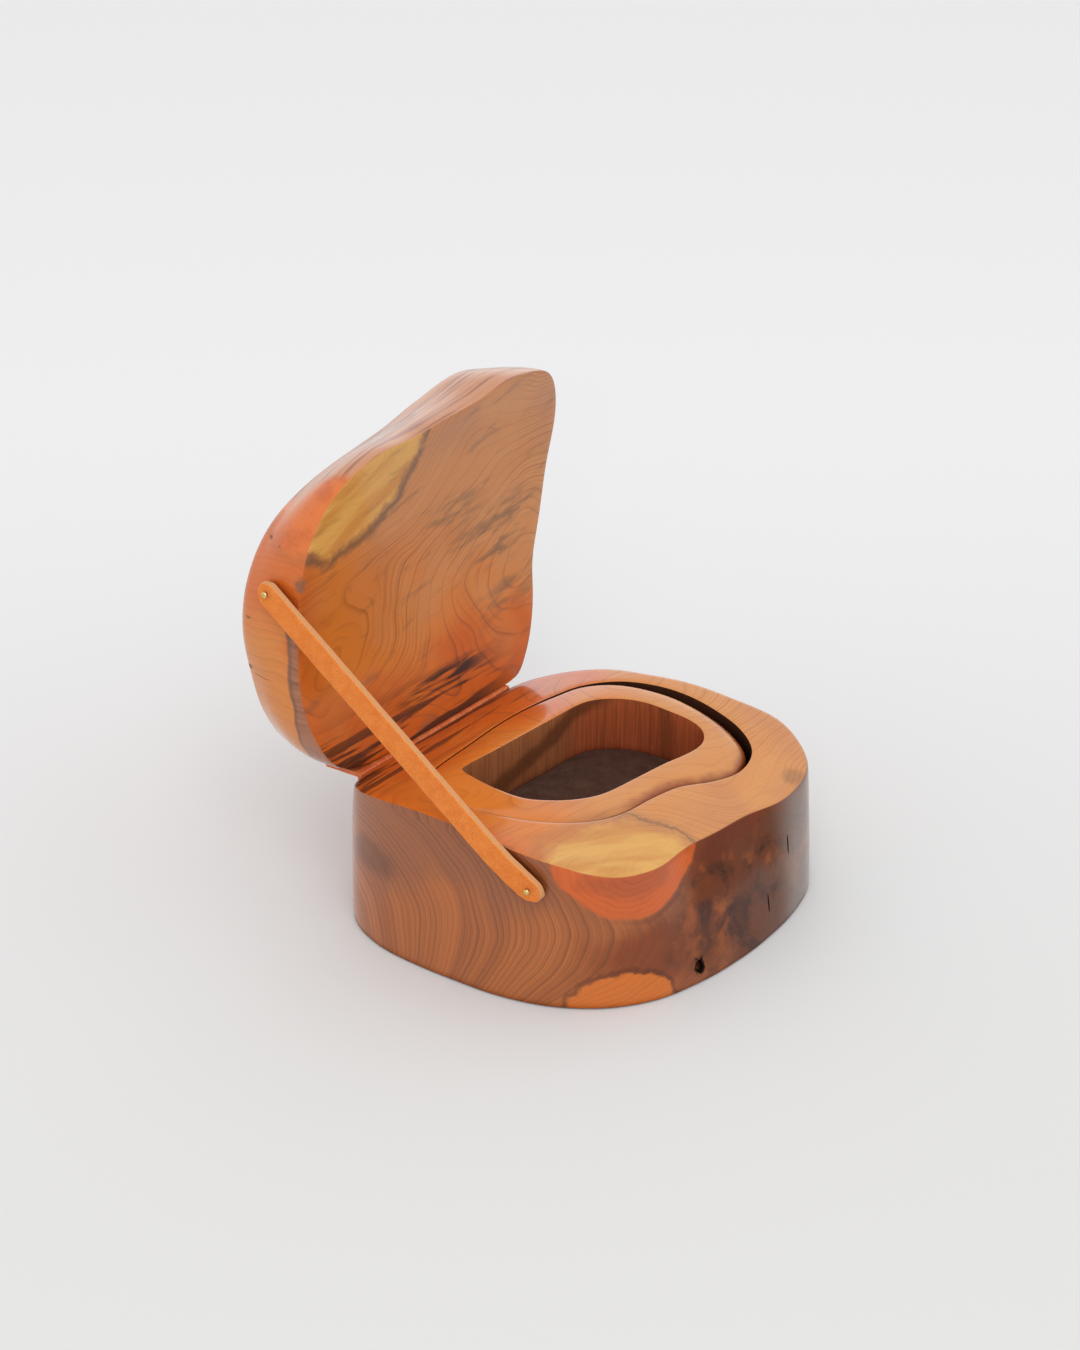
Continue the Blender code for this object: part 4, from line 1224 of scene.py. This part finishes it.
def loft(
    name: str,
    rings: Sequence[Sequence[Vector]],
    flats: Optional[Sequence[Vector]] = None,
    ends: Sequence[tuple[int, ...]] = (),
    middles: Optional[Sequence[Vector]] = None,
    sharp: float = SHARP_ANGLE,
) -> Mesh:
    """A closed body through rings of corners, with each corner's place on the flat hide kept.

    Args:
        name: Name of the mesh.
        rings: Rings of corners.
        flats: Places on the flat hide, ring by ring and then for both middles, or None for the corners' own.
        ends: Faces that close an end, as corners of its ring, or none for a fan round a middle point.
        middles: Middle points of the first and last ring, or None for the mean of their corners.
        sharp: Angle over which an edge is sharp.

    Returns:
        The mesh.
    """
    body = bmesh.new()
    rows = [[body.verts.new(corner) for corner in ring] for ring in rings]
    turns = range(len(rings[0]))
    for lower, upper in zip(rows, rows[1:]):
        for k in turns:
            body.faces.new((lower[k - 1], lower[k], upper[k], upper[k - 1]))
    for index in (0, -1):
        row = rows[index]
        for corners in ends:
            body.faces.new([row[k] for k in corners])
        if not ends:
            middle = middles[index] if middles else sum((v.co for v in row), Vector()) / len(row)
            middle = body.verts.new(middle)
            for k in turns:
                body.faces.new((row[k - 1], row[k], middle))
    bmesh.ops.recalc_face_normals(body, faces=body.faces)
    mesh = smooth_mesh(body, name)
    laid = mesh.attributes.new("laid_flat", "FLOAT_VECTOR", "POINT")
    places = np.array([tuple(place) for place in flats or [v.co for v in mesh.vertices]])
    laid.data.foreach_set("vector", places.astype(np.float32).ravel())
    mesh.set_sharp_from_angle(angle=sharp)
    return mesh


@dataclass
class SuedeSheet(Piece):
    """A suede lining, cut to its recess and laid in it."""

    ring_shares: tuple[float, ...] = (0.995, 0.975, 0.94, 0.86, 0.76, 0.64, 0.52, 0.40, 0.28, 0.16)
    edge_round: float = 0.0005
    edge_drop: float = 0.4  # Share of the rounding that the outer ring drops by
    least_radius: float = 0.01
    lie: float = 0.00035  # How unevenly it lies
    lie_size: float = 0.017
    nap: float = 0.00012
    nap_size: float = 0.004

    def face_point(self, x: float, y: float, top: float) -> Vector:
        """One corner of the sheet's face, never above the flat solid.

        Args:
            x: Across.
            y: Back.
            top: Height of the flat solid.

        Returns:
            The corner.
        """
        swell = noise.noise(Vector((x / self.lie_size, y / self.lie_size, 1.7)))
        fine = noise.noise(Vector((x / self.nap_size, y / self.nap_size, 4.1)))
        return Vector((x, y, top - self.lie * (1 + swell) / 2 - self.nap * (1 + fine) / 2))

    def build(self) -> Object:
        """Build, finish and hang the lining.

        Returns:
            The piece.
        """
        points = node_points(self.node)
        low, top = points[:, 2].min(), points[:, 2].max()
        rim = points[np.abs(points[:, 2] - top) < NO_LENGTH][:, :2]
        rim = rim[np.hypot(*(rim - rim.mean(0)).T) > self.least_radius]
        middle = rim.mean(0)
        rim = rim[np.argsort(np.arctan2(*(rim - middle).T[::-1]))] - middle
        heights = (low, top - self.edge_round - self.lie)
        rings = [[Vector((*(middle + corner), height)) for corner in rim] for height in heights]
        rings += [[self.face_point(*(middle + corner * s), top) for corner in rim] for s in self.ring_shares]
        for corner in rings[len(heights)]:
            corner.z -= self.edge_round * self.edge_drop
        middles = Vector((*middle, low)), self.face_point(*middle, top)
        return finished(loft(self.name, rings, middles=middles), self.finish, self.node, self.body)


@dataclass
class Strap:
    """The suede strap that holds the lid, drawn taut from the base's pin to the lid's."""

    finish: Finish
    name: str = "Suede_strap"
    stations: int = 150
    corner: float = 0.0007
    width_wander: float = 0.00022
    face_wander: float = 0.00010
    dimple: float = 0.00055
    dimple_reach: float = 0.0024
    blunt_reach: float = 0.0009  # How near its ends it is rounded
    skin: float = 0.0003  # How far inside the solid it stays
    end_width: float = 0.86  # Shares of its width and depth at its very ends
    end_depth: float = 0.80
    least_corners: int = 4  # Of a cut through the solid that is measured
    least_half: float = 0.0015
    least_depth: float = 0.002
    edge_band: float = 2e-4

    def __post_init__(self) -> None:
        """Find the line from pin to pin."""
        start, end = pin_middle("strap_pin_base"), pin_middle("strap_pin_lid")
        self.start = Vector((0, start.y, start.z))
        span = Vector((0, end.y - start.y, end.z - start.z))
        self.span = span.length
        self.along = span.normalized()
        self.across = Vector((0, -self.along.z, self.along.y))

    def measured(self) -> tuple[np.ndarray, ...]:
        """Measure the solid strap.

        Returns:
            Places along it, with the middle's X, half the width and half the thickness at each.
        """
        points = node_points("strap")
        away = points - np.array(self.start)
        sideways = away @ np.array(self.across)
        keys = np.round(away @ np.array(self.along), 5)
        rows = []
        for key in np.unique(keys):
            mine = keys == key
            wide = np.abs(sideways[mine])
            if mine.sum() < self.least_corners or wide.max() < self.least_half:
                continue
            x = points[mine][wide > wide.max() - self.edge_band][:, 0]
            if x.max() - x.min() >= self.least_depth:
                rows.append((key, (x.max() + x.min()) / 2, wide.max(), (x.max() - x.min()) / 2))
        return tuple(np.array(rows).T)

    def push(self, place: float, across: float, out: float) -> float:
        """How far one corner is pushed out by the uneven hide and the pins' heads.

        Args:
            place: Place along the strap.
            across: Place across it.
            out: Place through it.

        Returns:
            The push.
        """
        push = self.face_wander * noise.noise(Vector((place * 300, across * 500, out * 500 + 9.0)))
        if out < 0:
            for pin in (0.0, self.span):
                gap = math.hypot(place - pin, across)
                push += self.dimple * math.exp(-((gap / self.dimple_reach) ** 2))
        return push

    def build(self) -> Object:
        """Build and finish the strap.

        Returns:
            The piece.
        """
        places, middles, widths, depths = self.measured()
        first, last = places[0], places[-1]
        rings, flats = [], []
        for place in np.linspace(first, last, self.stations + 1):
            end_gap = min(place - first, last - place)
            blunt = min(1.0, math.sqrt(max(end_gap, 0.0) / self.blunt_reach))
            x, width, depth = (float(np.interp(place, places, row)) for row in (middles, widths, depths))
            width -= self.skin + self.width_wander * (1 + noise.noise(Vector((place * 160, 0.3, 0.7)))) / 2
            width *= self.end_width + (1 - self.end_width) * blunt
            depth = (depth - self.skin / 2) * (self.end_depth + (1 - self.end_depth) * blunt)
            ring = []
            for across, out in rounded_section(width, depth, min(self.corner, depth * 0.9, width * 0.9)):
                point = self.start + self.along * place + self.across * across
                point.x = x + out + self.push(place, across, out)
                ring.append(point)
                flats.append(Vector((place, across, out)))
            rings.append(ring)
        flats += [Vector((first, 0, 0)), Vector((last, 0, 0))]
        piece = finished(loft(self.name, rings, flats, sharp=math.radians(60)), self.finish, "strap")
        start = self.start.copy()
        end = self.start + self.along * self.span
        start.x = end.x = float(middles.mean())
        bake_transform(piece)
        return piece


@dataclass
class Pin(Piece):
    """A brass pin with a domed head, through an end of the strap."""

    head_radius: float = 0.00125
    head_height: float = 0.0008
    shank_radius: float = 0.0005
    skirt: float = 0.00035  # Depth of the head's straight edge
    sides: int = 40
    dome_steps: int = 9
    tip: float = 0.0015  # Length over which the shank tapers
    tip_share: float = 0.15
    skirt_shares: tuple[float, float] = (0.90, 0.99)

    def build(self) -> Object:
        """Turn the pin's outline round its axis, finish it and hang it.

        Returns:
            The piece.
        """
        low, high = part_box(self.node)
        axis = (low + high) / 2
        seat = low.x + self.head_height
        edge = seat + self.skirt
        under, outer = self.skirt_shares
        profile = [(high.x, self.tip_share), (high.x - self.tip, 1.0), (edge, 1.0)]
        profile = [(x, share * self.shank_radius) for x, share in profile]
        head = [(edge, under), (seat + self.skirt / 2, outer), (seat, 1.0)]
        turns = [math.pi / 2 * step / self.dome_steps for step in range(1, self.dome_steps)]
        head += [(seat - self.head_height * math.sin(a), math.cos(a)) for a in turns]
        profile += [(x, share * self.head_radius) for x, share in head]
        turns = [2 * math.pi * k / self.sides for k in range(self.sides)]
        rings = [
            [Vector((x, axis.y + radius * math.cos(a), axis.z + radius * math.sin(a))) for a in turns]
            for x, radius in profile
        ]
        return finished(loft(self.name, rings), self.finish, self.node, self.body)


@dataclass
class HingeStrip:
    """The leather strip that joins the backs of the base and the lid."""

    finish: Finish
    name: str = "Leather_hinge"
    stations: int = 60
    leg: float = 0.0160  # Length of a leg from the hinge line
    thickness: float = 0.0018
    length: float = 0.0860
    bend_steps: int = 14
    leg_steps: int = 8
    skin: float = 0.00006
    wave: float = 0.00006  # How unevenly its faces lie
    end_length: float = 0.9985  # Shares of the length and of the unevenness at its very ends
    end_wave: float = 0.72

    def build(self) -> Object:
        """Build and finish the strip, made bent at the hinge line from the base's leg to the lid's.

        Returns:
            The piece.
        """
        profile = self.profile(self.thickness / 2 - self.skin)
        rings, flats = [], []
        for i in range(self.stations + 1):
            last = i in (0, self.stations)
            end = self.length * (i / self.stations - 0.5)
            ring = []
            for y, z, run, out in profile:
                wavy = self.wave * noise.noise(Vector((end * 250, run * 250, out * 900)))
                corner = Vector((end, y + wavy, z + wavy))
                if last:
                    corner.xy = end * self.end_length, y + wavy * self.end_wave
                ring.append(Vector(HINGE_LINE) + corner)
                flats.append(Vector((end, run, out)))
            rings.append(ring)
        mesh = loft(self.name, rings, flats, self.end_faces(), sharp=math.radians(50))
        piece = finished(mesh, self.finish, "hinge_strip")
        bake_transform(piece)
        return piece

    def end_faces(self) -> list[tuple[int, ...]]:
        """Faces that close an end, laid like rungs from the inner to the outer side.

        Returns:
            Corners of each face, counted along the profile.
        """
        legs, bends = self.leg_steps, self.bend_steps
        outer, bend = legs + 2, 2 * legs + 2
        upper = bend + bends
        inner_upper = upper + legs + 2
        lower_inner = list(range(legs, -1, -1))
        lower_outer = list(range(outer, bend + 1))
        upper_outer = list(range(upper, upper + legs + 1))
        upper_inner = [0] + list(range(inner_upper + legs - 1, inner_upper - 1, -1))
        faces = [(legs, legs + 1, outer), (upper_inner[-1], upper_outer[-1], upper_outer[-1] + 1)]
        for inner, out in ((lower_inner, lower_outer), (upper_inner, upper_outer)):
            faces += [(inner[k], out[k], out[k + 1], inner[k + 1]) for k in range(legs)]
        return faces + [(0, bend + k, bend + k + 1) for k in range(bends)]

    def at(self, run: float, out: float) -> tuple[float, float, float, float]:
        """One corner of the outline.

        Args:
            run: Place along the strip, below 0 on the base's leg and above it on the lid's.
            out: Place through it.

        Returns:
            Y and Z from the hinge line, place along the strip, and depth through it.
        """
        if run < 0:
            return out, run, run, out
        sine, cosine = math.sin(OPEN_ANGLE), math.cos(OPEN_ANGLE)
        return sine * run + cosine * out, cosine * run - sine * out, run, out

    def profile(self, half: float) -> list[tuple[float, float, float, float]]:
        """Outline of the bent strip in the plane across the hinge line.

        Args:
            half: Half its thickness.

        Returns:
            A row for each corner, as in at().
        """
        mitre = half / math.tan((math.pi - OPEN_ANGLE) / 2)
        steps = range(self.leg_steps + 1)
        inner = [mitre + (self.leg - mitre) * step / self.leg_steps for step in steps]
        outer = [self.leg * step / self.leg_steps for step in steps][1:]
        turns = [math.pi - OPEN_ANGLE * step / self.bend_steps for step in range(self.bend_steps + 1)]
        rows = [self.at(-run, half) for run in inner] + [self.at(-self.leg, 0.0)]
        rows += [self.at(-run, -half) for run in reversed(outer)]
        rows += [(half * math.cos(turn), half * math.sin(turn), 0.0, -half) for turn in turns]
        rows += [self.at(run, -half) for run in outer] + [self.at(self.leg, 0.0)]
        return rows + [self.at(run, half) for run in reversed(inner[1:])]


@dataclass
class Studio:
    """Camera, pale paper floor and soft light."""

    eye: Triple = (-0.7751, -0.5725, 0.6063)
    right: Triple = (0.61253, -0.79040, 0.00912)
    back: Triple = (-0.70055, -0.53742, 0.46947)  # The way from the box to the camera
    lens: float = 102.53
    aim: Triple = (0.0, 0.0, 0.08)
    floor_radius: float = 9.0
    world_light: float = 0.90
    world_seen: float = 0.88

    def camera(self) -> None:
        """Set the camera up."""
        data = bpy.data.cameras.new("Camera")
        data.sensor_fit = "HORIZONTAL"
        data.sensor_width = 36.0
        data.lens = self.lens
        data.clip_start, data.clip_end = 0.01, 50.0
        camera = bpy.data.objects.new("Camera", data)
        right, back = Vector(self.right).normalized(), Vector(self.back).normalized()
        turned = Matrix((right, back.cross(right).normalized(), back)).transposed().to_4x4()
        camera.matrix_world = Matrix.Translation(Vector(self.eye)) @ turned
        bpy.context.scene.collection.objects.link(camera)
        bpy.context.scene.camera = camera

    def floor(self) -> None:
        """Lay the paper."""
        body = bmesh.new()
        bmesh.ops.create_circle(body, cap_ends=True, segments=128, radius=self.floor_radius)
        mesh = smooth_mesh(body, "Paper_floor")
        mesh.materials.append(Paper().material())
        paper = bpy.data.objects.new("Paper_floor", mesh)
        paper.location.z = -0.0002
        bpy.context.scene.collection.objects.link(paper)

    def world(self) -> None:
        """Light the room evenly, and show it a little darker to the camera."""
        world = bpy.data.worlds.new("Room")
        world.use_nodes = True
        bpy.context.scene.world = world
        recipe = Recipe(world.node_tree)
        ground = world.node_tree.nodes["Background"].inputs
        rays = recipe.node("ShaderNodeLightPath").outputs
        seen = recipe.most(rays["Is Camera Ray"], rays["Is Transmission Ray"])
        recipe.feed(ground["Strength"], recipe.fit(seen, self.world_seen - self.world_light, self.world_light))
        recipe.feed(ground["Color"], (1.0, 1.0, 1.0))

    def softbox(
        self, name: str, place: Triple, size: tuple[float, float], glow: float, card: bool = False
    ) -> None:
        """Hang one softbox, pointed at the box.

        Args:
            name: Name of the lamp.
            place: Where it hangs.
            size: Its width and height.
            glow: Brightness of its face, where 1 is white.
            card: Whether it is only a card that shows in reflections.
        """
        data = bpy.data.lights.new(name, "AREA")
        data.shape = "RECTANGLE"
        data.size, data.size_y = size
        data.energy = glow * math.pi * size[0] * size[1]
        lamp = bpy.data.objects.new(name, data)
        lamp.location = place
        lamp.rotation_mode = "QUATERNION"
        lamp.rotation_quaternion = (Vector(self.aim) - Vector(place)).to_track_quat("-Z", "Y")
        lamp.visible_diffuse = not card
        bpy.context.scene.collection.objects.link(lamp)

    def build(self) -> None:
        """Set up the whole studio."""
        self.camera()
        self.floor()
        self.world()
        self.softbox("Front_softbox", (-1.3, -1.1, 2.1), (1.5, 1.5), 2.4)
        self.softbox("Back_card", (1.9, 1.5, 0.62), (3.2, 1.0), 0.35, card=True)
        self.softbox("Front_lamp", (-0.83, -0.51, 0.63), (0.05, 0.05), 60.0)
        bpy.context.scene.view_settings.view_transform = "Standard"
        log.info("studio: camera, paper and lamps")


@dataclass
class Base:
    """The base: its ring, floor, liner and lower lining."""

    finish: Finish
    inner: Finish
    lining: Finish

    def build(self) -> list[Object]:
        """Build the base's pieces.

        Returns:
            The pieces.
        """
        return [
            WoodPiece("base_ring", "Base_wood", Body.BASE, self.finish).build(),
            WoodPiece("base_floor", "Base_floor_board", Body.BASE, self.inner, 0).build(),
            WoodPiece("liner_ring", "Liner_wood", Body.BASE, self.inner, 0).build(),
            SuedeSheet("lower_lining", "Lower_suede", Body.BASE, self.lining).build(),
        ]


@dataclass
class Tray:
    """The lift-out tray: its ring, floor and lining."""

    finish: Finish
    inner: Finish
    lining: Finish

    def build(self) -> list[Object]:
        """Build the tray's pieces.

        Returns:
            The pieces.
        """
        return [
            WoodPiece("tray_ring", "Tray_wood", Body.TRAY, self.finish, rimmed=True).build(),
            WoodPiece("tray_floor", "Tray_floor_board", Body.TRAY, self.inner, 0).build(),
            SuedeSheet("tray_lining", "Tray_suede", Body.TRAY, self.lining).build(),
        ]


@dataclass
class Lid:
    """The lid, one solid slice of yew."""

    finish: Finish

    def build(self) -> list[Object]:
        """Build the lid's one piece."""
        return [WoodPiece("lid", "Lid_wood", Body.LID, self.finish).build()]


@dataclass
class Leatherwork:
    """The strap with its two pins, and the hinge."""

    strap: Finish
    hinge: Finish
    brass: Finish

    def build(self) -> list[Object]:
        """Build the leather pieces and the pins.

        Returns:
            The pieces.
        """
        return [
            Strap(self.strap).build(),
            Pin("strap_pin_base", "Base_pin", Body.BASE, self.brass).build(),
            Pin("strap_pin_lid", "Lid_pin", Body.LID, self.brass).build(),
            HingeStrip(self.hinge).build(),
        ]


def main() -> None:
    """Build the studio and every sub-assembly."""
    Studio().build()
    # The base's inner walls take a painted shade
    yew = OiledYew("Yew", inside=Inside.STAINED)
    open_yew = OiledYew("Yew_of_lid", turned=True)
    sawn_yew = OiledYew("Yew_of_tray", inside=Inside.SAWN, rolled=True)
    plain_yew = OiledYew("Yew_unpolished", coat=0.1)
    brown = Suede("Brown_suede", (0.055, 0.022, 0.013), (0.095, 0.042, 0.026), None, 6.0, 0.5, 0.04)
    orange = Suede("Orange_suede", (0.750, 0.190, 0.024), (0.830, 0.255, 0.045), (0.600, 0.350, 0.165))
    tan = Leather("Tan_leather", paint(214, 98, 46), paint(226, 124, 66))
    for assembly in (
        Base(yew, plain_yew, brown),
        Tray(sawn_yew, plain_yew, brown),
        Lid(open_yew),
        Leatherwork(orange, tan, Brass("Turned_brass")),
    ):
        pieces = assembly.build()
        log.info("%s: %s", type(assembly).__name__, ", ".join(piece.name for piece in pieces))


if __name__ == "__main__":
    main()
